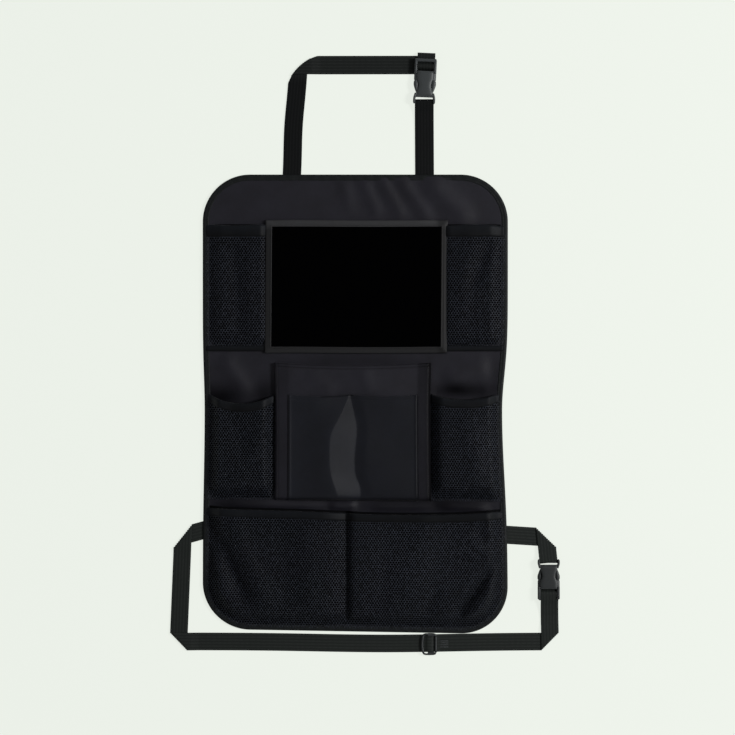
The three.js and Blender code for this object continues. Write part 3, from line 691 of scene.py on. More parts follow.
frame_tape = tape_material("frame_tape", (0.0105, 0.0106, 0.0112), 0.0006, 0.0001, 0.16)


def share_along(material, axis, start, end, before, after, easing="SMOOTHSTEP", coordinate="Object"):
    """A share that goes from before to after between two places along an axis."""
    nodes = material.node_tree.nodes
    links = material.node_tree.links
    place = nodes.new("ShaderNodeTexCoord")
    axes = nodes.new("ShaderNodeSeparateXYZ")
    share = nodes.new("ShaderNodeMapRange")
    share.interpolation_type = easing
    share.inputs["From Min"].default_value = start
    share.inputs["From Max"].default_value = end
    share.inputs["To Min"].default_value = before
    share.inputs["To Max"].default_value = after
    links.new(place.outputs[coordinate], axes.inputs[0])
    links.new(axes.outputs[axis], share.inputs["Value"])
    return share.outputs["Result"]


# Painted light makes the tape paler along the mouth, and painted shade darkens its right side.
scale_colour(frame_tape, share_along(frame_tape, "Y", 0.226, 0.233, 1.0, 2.15))
scale_colour(frame_tape, share_along(frame_tape, "X", 0.104, 0.112, 1.0, 0.45))
window_frame = closed_band(
    "window_frame_tape", [frame_loop(*line) for line in reversed(frame_profile)], frame_tape
)
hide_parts("tablet_window_frame")


def frame_stitch_line(inset, z):
    """A row of stitches round the frame, back to where it starts."""
    line = frame_loop(inset, z)
    return np.concatenate([line, line[:1]])


frame_stitches = stitches(
    "window_frame_stitches", [frame_stitch_line(0.0024, 0.0064), frame_stitch_line(0.0068, 0.0085)]
)

window_film, nodes, links, surface = new_material("clear_film")
surface.inputs["Base Color"].default_value = (0.0004, 0.0004, 0.0005, 1.0)
set_gloss(window_film, 0.16, 0.05)
add_relief(window_film, noise(window_film, 22.0), 0.25, 0.001)

film_across = np.linspace(frame_left + film_inset, frame_right - film_inset, 60)
film_up = np.linspace(frame_foot + film_inset, frame_top - film_inset, 44)
film_x, film_y = np.meshgrid(film_across, film_up)
film_waves = np.sin(34 * film_x + 12 * film_y) * np.sin(27 * film_y - 8 * film_x)
film_z = film_height + film_waviness * film_waves
film_lean = frame_lean * (film_y - frame_foot) / (frame_top - frame_foot)
film_grid = np.stack([film_x + film_lean, film_y, film_z], axis=2)
film = cloth("window_film", film_grid, film_thickness, window_film)
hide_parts("tablet_window_film")

# Upper side pockets
# Knitted net beside the window, its foot and sides sewn in and its top edge bound in a
# folded band of cloth. A strip of tape covers the seam along the foot.
net_pitch = 0.00355
net_row = 0.0028
net_thread = 0.00055
net_hole_share = 0.74
sewn_height = 0.0036
upper_mouth = 0.2325
upper_foot = 0.0745
upper_band_depth = 0.0145
upper_depth = 0.0060
upper_swell = 0.0005
upper_creases = [
    ((-0.158, 0.215), (-0.150, 0.085), -0.0024, 0.010),
    ((-0.136, 0.200), (-0.140, 0.100), 0.0012, 0.009),
    ((0.182, 0.222), (0.150, 0.150), -0.0026, 0.009),
    ((0.150, 0.225), (0.135, 0.100), 0.0018, 0.012),
]
net_corners = [(1, -1), (1, 1), (0, 2), (-1, 1), (-1, -1), (0, -2)]


def speckled_material(name, scale, dark, pale, low=0.0, high=1.0, coordinate="Object"):
    """A material whose colour wavers finely between two tones."""
    material, nodes, links, surface = new_material(name)
    speckle = noise(material, scale, coordinate=coordinate)
    links.new(two_tones(material, speckle, dark, pale, low, high), surface.inputs["Base Color"])
    return material


net_dark = (0.0020, 0.0030, 0.0058)
net_pale = (0.0185, 0.0220, 0.0310)
net_material = speckled_material("net_thread", 380.0, net_dark, net_pale, 0.38, 0.62)
add_relief(net_material, noise(net_material, 1600.0, coordinate="Generated"), 0.5, 0.0001)
set_gloss(net_material, 0.5, 0.22)
let_shade(net_material, 0.22)


def net(name, left, right, foot, top, inside, height):
    """Knitted net: rows of six-sided holes, each row half a hole along from the last."""
    cells = []
    for row in range(int(foot / net_row) - 1, int(top / net_row) + 2):
        for column in range(int(left / net_pitch) - 2, int(right / net_pitch) + 2):
            cells.append((2 * column + row % 2, 3 * row))
    cells = np.array(cells)
    x, y = cells[:, 0] * net_pitch / 2, cells[:, 1] * net_row / 3
    cells = cells[inside(x, y)]
    count = len(cells)
    around = np.array(net_corners)
    keys = (cells[:, None, :] + around[None, :, :]).reshape(-1, 2)
    knots, knot_of = np.unique(keys, axis=0, return_inverse=True)
    knot_of = knot_of.reshape(count, 6)
    knot_xy = knots * (net_pitch / 2, net_row / 3)
    centres = cells * (net_pitch / 2, net_row / 3)
    hole_xy = centres[:, None, :] + net_hole_share * around * (net_pitch / 2, net_row / 3)
    hole_xy = hole_xy.reshape(-1, 2)

    def placed(xy, lift):
        z = height(xy[:, 0], xy[:, 1]) + lift
        px, py = relaxed(xy[:, 0], xy[:, 1])
        return np.stack([px, py, z], axis=1)

    points = np.concatenate(
        [placed(knot_xy, net_thread / 2), placed(knot_xy, -net_thread / 2), placed(hole_xy, 0.0)]
    )
    knots_count = len(knots)
    hole_of = 2 * knots_count + np.arange(count * 6).reshape(count, 6)
    following = np.roll(np.arange(6), -1)
    over = np.stack(
        [knot_of, knot_of[:, following], hole_of[:, following], hole_of], axis=2
    ).reshape(-1, 4)
    under = over[:, ::-1].copy()
    under[under < knots_count] += knots_count
    ends = np.stack([knot_of, knot_of[:, following]], axis=2).reshape(-1, 2)
    _, number, uses = np.unique(
        np.sort(ends, axis=1), axis=0, return_inverse=True, return_counts=True
    )
    edge = ends[uses[number.ravel()] == 1]
    wall = np.stack(
        [edge[:, 1], edge[:, 0], edge[:, 0] + knots_count, edge[:, 1] + knots_count], axis=1
    )
    return add_object(name, points, np.concatenate([over, under, wall]), net_material)


# Black sheets behind the nets paint the shade inside the pockets, and show as a dark line above the
# mouths.
shade_sheet_dark = (0.0004, 0.0004, 0.0006)
shade_sheet_pale = (0.0016, 0.0017, 0.0022)
net_shade_sheet = speckled_material(
    "net_shade_sheet", 900.0, shade_sheet_dark, shade_sheet_pale, coordinate="Generated"
)
set_gloss(net_shade_sheet, 0.9, 0.05)
shade_sheet_depth = 0.0009
shade_sheet_thickness = 0.0004


def shade_sheet(name, left, right, foot, top, height, rows, columns):
    """Painted shade: a black sheet close behind a net, which shows dark through the holes."""
    share = np.linspace(0, 1, rows)[:, None]
    across = np.linspace(0, 1, columns)[None, :]
    y = foot + (top(left(foot) * (1 - across) + right(foot) * across) - foot) * share
    x = left(y) * (1 - across) + right(y) * across
    y = foot + (top(x) - foot) * share
    z = height(x, y) - shade_sheet_depth
    x, y = relaxed(x, y)
    piece = cloth(name, np.stack([x, y, z], axis=2), shade_sheet_thickness, net_shade_sheet)
    return piece


band_cloth = woven_material(
    "band_cloth", (0.0026, 0.0034, 0.0050), 0.55, 0.0006, 0.0001, specular=0.10
)
# Painted shade darkens the band towards its foot, and painted light makes it paler along its top.
band_shade_and_light = share_along(band_cloth, "Y", 0.0, 1.0, 0.25, 1.35, "LINEAR", "Generated")
scale_colour(band_cloth, band_shade_and_light)
band_thickness = 0.0014
foot_tape_thickness = 0.0008
band_crown = 0.0006
band_lift = 0.0004


def upper_height(x, y):
    """The height of an upper pocket's net, which bulges a little between its seams."""
    side = np.sign(x)
    beside_window = np.abs(x) - 0.1125
    beside_edge = panel_side(y, 0.007) - np.abs(x)
    above_foot = y - upper_foot
    rise = smooth(beside_window / 0.012) * smooth(beside_edge / 0.018) * smooth(above_foot / 0.014)
    swell = upper_swell * np.sin(60 * x + 9 * side) * np.sin(33 * y)
    fold = all_creases(x, y, upper_creases)
    return sewn_height + upper_depth * rise + (fold + swell) * rise


def band(name, left, right, foot, top, height, thickness, rows=9, columns=46):
    """The folded band along a pocket's mouth: its sides given by height, its edges by x."""
    share = np.linspace(0, 1, rows)[:, None]
    across = np.linspace(0, 1, columns)[None, :]
    guess = left(np.array(foot(0.0))) * (1 - across) + right(np.array(foot(0.0))) * across
    y = foot(guess) * (1 - share) + top(guess) * share
    x = left(y) * (1 - across) + right(y) * across
    round_edge = band_crown * (1 - np.abs(2 * share - 1) ** 6)
    z = height(x, y) + round_edge + band_lift
    x, y = relaxed(x, y)
    return cloth(name, np.stack([x, y, z], axis=2), thickness, band_cloth)


def level(value):
    """A line that keeps to one place all along."""
    return lambda place: np.full(np.shape(place), value)


def panel_line(side, inset=0.0055):
    """The panel's left (-1) or right (1) side, less an inset under its binding."""
    return lambda y: side * panel_side(y, inset)


def foot_tape_height(x, y):
    return np.full(np.shape(x), 0.0040)


def upper_mouth_line(x):
    return upper_mouth + 0.0008 * np.sin(90 * x)


window_edge = 0.1150
under_frame = 0.0010
under_binding = 0.0045
for side, hand in ((-1, "left"), (1, "right")):
    net_top = upper_mouth - upper_band_depth + 0.003
    net_piece = net(
        f"upper_{hand}_net",
        -0.2 if side < 0 else window_edge,
        -window_edge if side < 0 else 0.2,
        upper_foot - 0.003,
        net_top,
        lambda x, y: (np.abs(x) > window_edge - under_frame)
        & (np.abs(x) < panel_side(y, under_binding))
        & (y > upper_foot - 0.002)
        & (y < net_top),
        upper_height,
    )
    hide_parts(f"upper_{hand}_mesh")
    ends = [panel_line(side), level(side * 0.1165)]
    left_end, right_end = ends if side < 0 else ends[::-1]
    # A black sheet of painted shade behind the net, reaching a little above its mouth.
    shade_sheet_piece = shade_sheet(
        f"upper_{hand}_lining",
        left_end,
        right_end,
        upper_foot - 0.001,
        level(upper_mouth + 0.0012),
        upper_height,
        40,
        24,
    )
    mouth_band = band(
        f"upper_{hand}_band",
        left_end,
        right_end,
        level(upper_mouth - upper_band_depth),
        upper_mouth_line,
        upper_height,
        band_thickness,
    )
    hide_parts(f"upper_{hand}_hem")
    foot_tape = band(
        f"upper_{hand}_foot_tape",
        left_end,
        right_end,
        level(upper_foot - 0.0065),
        level(upper_foot + 0.0005),
        foot_tape_height,
        foot_tape_thickness,
        rows=6,
    )
    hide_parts(f"upper_{hand}_seam_tape")

# Lower side pockets
# Deeper pockets of the same net for bottles, sewn in beside the middle pocket. Their bound
# mouths sag between the corners.
lower_mouth = 0.0110
mouth_half = 0.193
lower_foot = -0.1275
lower_band_depth = 0.0105
lower_depth = 0.0120
lower_creases = [
    ((-0.116, -0.010), (-0.150, -0.110), 0.0022, 0.012),
    ((-0.165, 0.000), (-0.135, -0.110), -0.0018, 0.011),
    ((0.150, -0.010), (0.165, -0.110), 0.0022, 0.014),
    ((0.185, 0.000), (0.178, -0.100), -0.0018, 0.009),
]
pocket_left = -0.1054
pocket_right = 0.1003
beside_pocket = 0.0005
mouth_dip = {-1: 0.012, 1: 0.007}


def lower_ends(side):
    """Where a lower pocket's net starts and ends at a height, from left to right."""
    if side < 0:
        return panel_line(side), level(pocket_left - beside_pocket)
    return level(pocket_right + beside_pocket), panel_line(side)


def lower_height(x, y):
    """The height of a lower pocket's net, which stands well off the panel."""
    inner = np.where(x < 0, pocket_left - x, x - pocket_right)
    outer = panel_side(y, 0.006) - np.abs(x)
    above_foot = y - lower_foot
    rise = smooth((inner + 0.001) / 0.018) * smooth(outer / 0.015) * smooth(above_foot / 0.022)
    return sewn_height + lower_depth * rise + all_creases(x, y, lower_creases) * rise


def lower_top(side, inset=0.0):
    """The sagging line of a lower pocket's mouth, less an inset."""

    def top(x):
        inner_end = pocket_left if side < 0 else pocket_right
        middle = (side * mouth_half + inner_end) / 2
        half = abs(side * mouth_half - middle)
        sag = mouth_dip[side] * (1 - np.clip((x - middle) / half, -1, 1) ** 2)
        return lower_mouth - inset - sag

    return top


for side, hand in ((-1, "left"), (1, "right")):
    left_end, right_end = lower_ends(side)
    band_foot = lower_top(side, lower_band_depth)
    net_piece = net(
        f"lower_{hand}_net",
        -0.2 if side < 0 else pocket_right,
        pocket_left if side < 0 else 0.2,
        lower_foot,
        lower_mouth,
        lambda x, y: (x > left_end(y) - 0.001)
        & (x < right_end(y) + 0.001)
        & (y > lower_foot)
        & (y < band_foot(x) + 0.003),
        lower_height,
    )
    # Painted light: a paler patch on the right pocket's net.
    shade_patches(net_piece, [(0.158, -0.060, 0.030, 0.050, -0.22)])
    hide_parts(f"lower_{hand}_mesh")
    mouth_band = band(
        f"lower_{hand}_band",
        left_end,
        right_end,
        band_foot,
        lower_top(side),
        lower_height,
        band_thickness,
    )
    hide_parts(f"lower_{hand}_hem")
    # A black sheet of painted shade behind the net, reaching a little above its mouth.
    shade_sheet_piece = shade_sheet(
        f"lower_{hand}_lining",
        left_end,
        right_end,
        lower_foot,
        lower_top(side, -0.0008),
        lower_height,
        50,
        30,
    )

# Middle pocket
# A flat pocket of the panel's cloth, its edges folded under and top-stitched, open at the
# top, where its double hem sags a little.
pocket_mouth = 0.0525
pocket_foot = -0.1280
pocket_sag = 0.0040
pocket_face = 0.0105
pocket_hem = 0.0045
pocket_thickness = 0.0011
side_seam = 0.0036
groove_depth = 0.00045
groove_width = 0.0007
pocket_crown = 0.0014
pocket_swell = 0.0005
pocket_creases = [
    ((-0.060, 0.045), (-0.030, 0.015), 0.0009, 0.012),
    ((0.010, 0.048), (0.020, 0.016), 0.0009, 0.010),
]


def spread(count, ends):
    """Steps from 0 to 1 that crowd towards both ends, where the cloth turns down."""
    even = np.linspace(0, 1, count)
    return (1 - ends) * even + ends * (1 - np.cos(math.pi * even)) / 2


def steep_edge(distance, turn):
    """Rises from 0 to 1 in a short turn, as a folded edge does."""
    return 1 - np.exp(-np.clip(distance, 0, 1) / turn)


def pocket_height(x, y):
    """The height of the middle pocket's face, crowned and grooved along its stitches."""
    inset = np.minimum(x - pocket_left, pocket_right - x)
    raised = steep_edge(inset, 0.0010) * steep_edge(y - pocket_foot, 0.0022)
    across = np.clip((x - pocket_left) / (pocket_right - pocket_left), 0, 1)
    crown = pocket_crown * np.sin(math.pi * across) * smooth((y - pocket_foot) / 0.060)
    groove = soft_line(y - pocket_mouth + pocket_hem, groove_depth, groove_width)
    side_groove = soft_line(inset - side_seam, groove_depth, groove_width)
    swell = pocket_swell * np.sin(38 * x + 5 * y) * np.sin(52 * y + 20 * x)
    lift = pocket_face - sewn_height + crown + swell + all_creases(x, y, pocket_creases)
    return sewn_height + lift * raised - groove - side_groove


def pocket_hang(x, y):
    """How far the pocket's cloth sags: most in the middle of its mouth."""
    across = 2 * (x - pocket_left) / (pocket_right - pocket_left) - 1
    return pocket_sag * (1 - across**2) * smooth((y + 0.04) / (pocket_mouth + 0.04))


pocket_up, pocket_across = np.meshgrid(spread(90, 0.80), spread(110, 0.93), indexing="ij")
pocket_x = pocket_left + pocket_across * (pocket_right - pocket_left)
pocket_y = pocket_foot + pocket_up * (pocket_mouth - pocket_foot)
pocket_z = pocket_height(pocket_x, pocket_y)
pocket_px, pocket_py = relaxed(pocket_x, pocket_y - pocket_hang(pocket_x, pocket_y))
pocket_grid = np.stack([pocket_px, pocket_py, pocket_z], axis=2)
middle_pocket = cloth("middle_pocket", pocket_grid, pocket_thickness, panel_cloth)
# Painted shade along its mouth, its hem's stitches and both its sides, deepest at its right edge,
# where it stands off the panel; a painted highlight along the edge its left side turns to the light.
from_left = pocket_x - pocket_left
from_right = pocket_right - pocket_x
from_mouth = pocket_mouth - pocket_y
pocket_shade = soft_line(from_right, 0.60, 0.0050)
pocket_shade += 0.34 * smooth((0.020 - from_right) / 0.004)
pocket_shade += soft_line(from_left - 0.0012, -0.8, 0.0012)
pocket_shade += 0.16 * smooth((0.020 - from_left) / 0.004)
pocket_shade += soft_line(from_mouth, 0.36, 0.0009)
pocket_shade += soft_line(from_mouth - 0.0040, 0.30, 0.0010)
shade_grid(middle_pocket, pocket_shade)
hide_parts("centre_pocket")


def pocket_line(x, y):
    """A row of stitches along points of the pocket's face."""
    px, py = relaxed(x, y - pocket_hang(x, y))
    return np.stack([px, py, pocket_height(x, y) + 0.0001], axis=1)


mouth_x = np.linspace(pocket_left + 0.002, pocket_right - 0.002, 80)
side_y = np.linspace(pocket_foot + 0.003, pocket_mouth - 0.001, 80)
pocket_stitches = stitches(
    "middle_pocket_stitches",
    [
        pocket_line(mouth_x, np.full(80, pocket_mouth - pocket_hem)),
        pocket_line(np.full(80, pocket_left + side_seam), side_y),
        pocket_line(np.full(80, pocket_right - side_seam), side_y),
    ],
)

# Front pocket
# A second pocket on the middle one, sewn down through both along a seam left of its middle
# line. The slack of its left half folds over that seam as a long flat pleat.
front_left = -0.0880
front_right = 0.0835
front_mouth = 0.0108
front_sag = 0.0025
front_seam = -0.0070
front_face = 0.0034
front_thickness = 0.0010
edge_lift = 0.0006
valley_lift = 0.0020
pleat_height = 0.0074
pleat_width = 0.034
# The pleat's ridge and valley lines, from its mouth down: height, ridge x, valley x.
pleat_lines = [
    (0.0110, -0.0082, -0.0068),
    (-0.0050, -0.0145, -0.0034),
    (-0.0180, -0.0210, 0.0002),
    (-0.0310, -0.0283, 0.0028),
    (-0.0445, -0.0333, 0.0018),
    (-0.0640, -0.0340, -0.0002),
    (-0.0840, -0.0334, -0.0006),
    (-0.0970, -0.0312, 0.0008),
    (-0.1090, -0.0272, 0.0074),
    (-0.1280, -0.0205, 0.0064),
]


def pleat_line(y, column):
    """A pleat line's x at a height, eased between its points."""
    heights = [line[0] for line in pleat_lines][::-1]
    places = [line[column] for line in pleat_lines][::-1]
    shifts = (-0.006, -0.003, 0.0, 0.003, 0.006)
    return sum(np.interp(y + shift, heights, places) for shift in shifts) / len(shifts)


def pleat_share(y):
    """How far the pleat is open at a height, from 0 at its mouth to 1."""
    return np.clip((pleat_line(y, 2) - pleat_line(y, 1)) / pleat_width, 0.02, 1.0)


def front_height(x, y):
    """The height of the front pocket's face: flat, with the pleat's slope left of its seam."""
    base = pocket_height(x, y) + pocket_thickness
    sides = steep_edge(np.minimum(x - front_left, front_right - x), 0.0009)
    foot = steep_edge(y - pocket_foot - 0.0005, 0.0020)
    ridge = pleat_line(y, 1)
    valley = pleat_line(y, 2)
    ridge_rise = pleat_height * pleat_share(y) - 0.0010
    left_rise = smooth((x - front_left) / (ridge - front_left))
    beside_edge = edge_lift + (front_face - edge_lift) * smooth((x - front_left) / 0.045)
    left = beside_edge + ridge_rise * left_rise**3
    facet = np.clip((x - ridge) / (valley - ridge), 0, 1)
    slope = (front_face + ridge_rise) * (1 - facet) + valley_lift * facet
    right = valley_lift + (front_face - valley_lift) * smooth((x - valley) / 0.016)
    lift = np.where(x < ridge, left, np.where(x < valley, slope, right))
    bead = soft_line(x - front_left - 0.0018, 0.0006, 0.0011)
    bead = bead + soft_line(front_right - x - 0.0030, 0.0006, 0.0011)
    hem_groove = soft_line(y - front_mouth + 0.0045, 0.0004, groove_width)
    return base + (lift + bead) * sides * foot - hem_groove


front_up = spread(90, 0.7)
front_rows = pocket_foot + 0.0006 + front_up * (front_mouth - pocket_foot - 0.0006)
front_columns = []
for y in front_rows:
    ridge, valley = float(pleat_line(y, 1)), float(pleat_line(y, 2))
    left_part = front_left + spread(36, 0.9) * (ridge - front_left)
    facet_part = ridge + np.linspace(0, 1, 18)[1:] * (valley - ridge)
    right_part = valley + spread(44, 0.9)[1:] * (front_right - valley)
    front_columns.append(np.concatenate([left_part, facet_part, right_part]))
front_x = np.array(front_columns)
front_y = np.repeat(front_rows[:, None], front_x.shape[1], axis=1)
front_z = front_height(front_x, front_y)


def front_drop(x, y):
    """How far the front pocket's two mouths sag, each in its own middle."""
    middle = np.where(x < front_seam, (front_left + front_seam) / 2, (front_seam + front_right) / 2)
    half = np.where(x < front_seam, front_seam - front_left, front_right - front_seam) / 2
    sag = front_sag * (1 - np.clip((x - middle) / half, -1, 1) ** 2)
    return sag * smooth((y + 0.05) / (front_mouth + 0.05))


front_px, front_py = relaxed(front_x, front_y - front_drop(front_x, front_y))
front_cloth = woven_material("front_cloth", (0.0042, 0.0048, 0.0079), 0.50, 0.0007, 0.00012)
let_shade(front_cloth, 0.18)
front_grid = np.stack([front_px, front_py, front_z], axis=2)
front_pocket = cloth("front_pocket_cloth", front_grid, front_thickness, front_cloth)
# The pleat's slope turns to the light; painted shade dulls its upper part and the right half and
# edge,
# and paints a dark line where the mouth stands off. The left half is painted paler.
opened_below = smooth(-front_y / 0.050)
beside_mouth = np.abs(front_x + 0.024) < 0.022
on_pleat = (front_x > pleat_line(front_y, 1)) & (front_x < pleat_line(front_y, 2))
front_shade = soft_line(front_right - front_x, 0.55, 0.0030)
front_shade += np.where(front_x > pleat_line(front_y, 2), 0.13, -0.10)
front_shade += np.where(on_pleat, 0.28 * (1 - opened_below) + 0.06, 0.0)
front_shade += soft_line(front_mouth - front_y, 0.55, 0.0013) * beside_mouth
shade_grid(front_pocket, front_shade)
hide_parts("front_pocket")

# Bottom pocket
# One wide pocket of net across the panel's foot, its mouth bound in a band of cloth and its
# middle sewn down to the panel, so that it makes two. The net's slack lies in soft folds.
bottom_mouth = -0.1390
bottom_sag = 0.0030
mouth_sink = 0.0040
mouth_rise = 0.0020
bottom_band_depth = 0.0095
bottom_depth = 0.0140
bottom_seam = -0.0104
bottom_creases = [
    ((-0.188, -0.162), (-0.142, -0.262), -0.0068, 0.011),
    ((-0.164, -0.150), (-0.112, -0.270), 0.0042, 0.014),
    ((-0.100, -0.160), (-0.086, -0.262), -0.0018, 0.013),
    ((-0.060, -0.150), (-0.058, -0.270), 0.0022, 0.014),
    ((0.184, -0.205), (0.128, -0.284), -0.0072, 0.0075),
    ((0.196, -0.212), (0.148, -0.286), 0.0050, 0.010),
    ((0.160, -0.160), (0.182, -0.190), -0.0030, 0.010),
    ((0.094, -0.150), (0.070, -0.250), 0.0026, 0.017),
    ((0.108, -0.236), (0.092, -0.276), -0.0028, 0.009),
    ((0.040, -0.160), (0.034, -0.270), -0.0020, 0.014),
]
seam_slope_left = 0.034
seam_slope_right = 0.011
seam_floor = 0.35


def bottom_height(x, y):
    """The height of the bottom pocket's net: off the panel, pinched down at its seam."""
    side = panel_side(y, 0.0065) - np.abs(x)
    over = np.maximum(-(panel_half_height - corner_radius) - y, 0)
    reach = np.hypot(np.maximum(np.abs(x) - (panel_half_width - corner_radius), 0), over)
    corner = corner_radius - 0.0065 - reach
    edge = np.where(over > 0, corner, side)
    foot = y + panel_half_height - 0.0065
    edge = np.minimum(edge, foot)
    seam_slope = np.where(x < bottom_seam, seam_slope_left, seam_slope_right)
    beside_seam = np.clip(np.abs(x - bottom_seam) / seam_slope, 0, 1)
    seam_rise = 1 - (1 - beside_seam) ** 2 * (1 - seam_floor)
    rise = smooth(edge / 0.020) * seam_rise
    folds = all_creases(x, y, bottom_creases)
    return sewn_height + bottom_depth * rise + folds * rise


def bottom_top(x, inset=0.0):
    """The line of the bottom pocket's mouth, sunk to the right, less an inset."""
    half = np.where(x < bottom_seam, bottom_seam + mouth_half, mouth_half - bottom_seam)
    sag = bottom_sag * (1 - ((x - bottom_seam) / half) ** 2)
    sunk = mouth_sink * smooth((x + 0.090) / 0.150) - mouth_rise * smooth((x - 0.130) / 0.060)
    return bottom_mouth - inset - sag - sunk


bottom_net = net(
    "bottom_net",
    -0.2,
    0.2,
    -0.30,
    bottom_mouth,
    lambda x, y: (np.abs(x) < panel_side(y, under_binding))
    & (y > -panel_half_height + under_binding)
    & (y < bottom_top(x, bottom_band_depth) + 0.003),
    bottom_height,
)
# Painted light on the right half of the bottom net, where it bulges towards the light.
shade_patches(bottom_net, [(0.080, -0.212, 0.070, 0.055, -0.34)])
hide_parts("bottom_mesh")

# Painted shade: a black sheet behind the net, reaching above the mouth as a dark line.
bottom_shade_sheet = shade_sheet(
    "bottom_shade_sheet",
    panel_line(-1),
    panel_line(1),
    -panel_half_height + 0.0055,
    lambda x: bottom_top(x, -0.0032),
    bottom_height,
    60,
    150,
)

bottom_band = band(
    "bottom_band",
    panel_line(-1),
    panel_line(1),
    lambda x: bottom_top(x, bottom_band_depth),
    bottom_top,
    bottom_height,
    band_thickness,
    columns=150,
)
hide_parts("bottom_hem")

# Straps
# Black woven webbing, about 24 mm wide and 1.4 mm thick. It is folded flat over itself at
# each corner, led through the buckles and sewn behind the panel's edge.
webbing_thickness = 0.0014
fold_radius = 0.00072
run_middle = 0.039
run_reach = 0.125
run_sag = 0.0027
leg_middle = 0.362
leg_reach = 0.040
leg_bow = 0.0018
tuck_centre = (-0.0303, 0.3954)
tuck_radius = 0.0626
tuck_share = 0.94
lying_height = webbing_thickness / 2

webbing_material, nodes, links, surface = new_material("strap_webbing")
webbing_uv = nodes.new("ShaderNodeUVMap")
webbing_uv.uv_map = "along_strap"
ribs = waves(webbing_material, webbing_uv.outputs["UV"], "X", 0.0016, 0.8, 1.0)
cords = waves(webbing_material, webbing_uv.outputs["UV"], "Y", 0.0040, 0.5)
weave = product(webbing_material, ribs, cords)
webbing_dark = (0.0082, 0.0100, 0.0090)
webbing_pale = (0.0160, 0.0192, 0.0172)
# The top strap is darker than the lower one: its legs most, its run along the top less.
top_strap_share = share_along(webbing_material, "Y", 0.100, 0.290, 0.0, 0.96)
leg_part = share_along(webbing_material, "Y", 0.418, 0.436, 1.0, 0.40)
dulled = nodes.new("ShaderNodeMix")
dulled.data_type = "RGBA"
dulled.inputs["B"].default_value = (0.0006, 0.0010, 0.0012, 1.0)
webbing_tone = two_tones(webbing_material, weave, webbing_dark, webbing_pale)
links.new(product(webbing_material, top_strap_share, leg_part), dulled.inputs["Factor"])
links.new(webbing_tone, dulled.inputs["A"])
links.new(dulled.outputs["Result"], surface.inputs["Base Color"])
add_relief(webbing_material, weave, 0.5, 0.0003)
set_gloss(webbing_material, 0.6, 0.13)


def turned(heading, angle=0.0):
    """A step of length 1 on a heading in degrees, turned by an angle."""
    radians = math.radians(heading + angle)
    return np.array([math.cos(radians), math.sin(radians)])


def webbing_section(width):
    """The webbing's section, round at its edges: places across it, and over its middle."""
    round_edge = webbing_thickness / 2
    bulge = 0.6 * round_edge
    flat_half = width / 2 - bulge
    flat_part = np.linspace(-1, 1, 13) * flat_half
    turn = np.radians([60, 0, -60])
    edge_part = flat_half + bulge * np.cos(turn)
    edge_over = round_edge * np.sin(turn)
    flat_over = np.full(len(flat_part), round_edge)
    across = np.concatenate([flat_part, edge_part, flat_part[::-1], -edge_part])
    over = np.concatenate([flat_over, edge_over, -flat_over, -edge_over])
    return across, over


def folded(x, y, z, folds):
    """Points of a flat strip folded over each crease in turn, and which way each faces."""
    normal = np.zeros((*x.shape, 3))
    normal[..., 2] = 1.0
    passed = np.ones(x.shape, bool)
    bend = math.pi * fold_radius
    for fold in folds:
        before, after = fold["from"], fold["heading"]
        outward = turned((before + after) / 2, -90 if after > before else 90)
        point = fold["point"]
        past = (x - point[0]) * outward[0] + (y - point[1]) * outward[1]
        past = np.where(passed, past + bend / 2, -1.0)
        angle = np.clip(past, 0, bend) / fold_radius
        back = fold_radius * np.sin(angle) - np.maximum(past - bend, 0) - past
        moved = np.where(past > 0, back, 0.0)
        x = x + moved * outward[0]
        y = y + moved * outward[1]
        z = z + np.where(past > 0, fold_radius * (1 - np.cos(angle)), 0.0)
        sign = np.where(normal[..., 2] < 0, -1.0, 1.0)
        lean = -np.sin(angle) * sign
        turned_normal = np.stack(
            [lean * outward[0], lean * outward[1], np.cos(angle) * sign], axis=-1
        )
        normal = np.where((past > 0)[..., None], turned_normal, normal)
        passed = passed & (past >= bend)
    return x, y, z, normal


def as_it_lies(x, y):
    """The straps' own curves: the long run hangs, the left leg is bowed, and the loop's
    upper left corner is tucked in to a curve."""
    run_share = smooth((-0.270 - y) / 0.020)
    y = y - soft_line(x - run_middle, run_sag, run_reach) * run_share
    leg_share = smooth((-0.02 - x) / 0.02)
    x = x - soft_line(y - leg_middle, leg_bow, leg_reach) * leg_share
    reach_x, reach_y = x - tuck_centre[0], y - tuck_centre[1]
    reach = np.hypot(reach_x, reach_y)
    at_corner = (x < -0.030) & (y > 0.405)
    tuck = tuck_share * np.where(at_corner, np.maximum(reach - tuck_radius, 0), 0) / reach
    return x - tuck * reach_x, y - tuck * reach_y


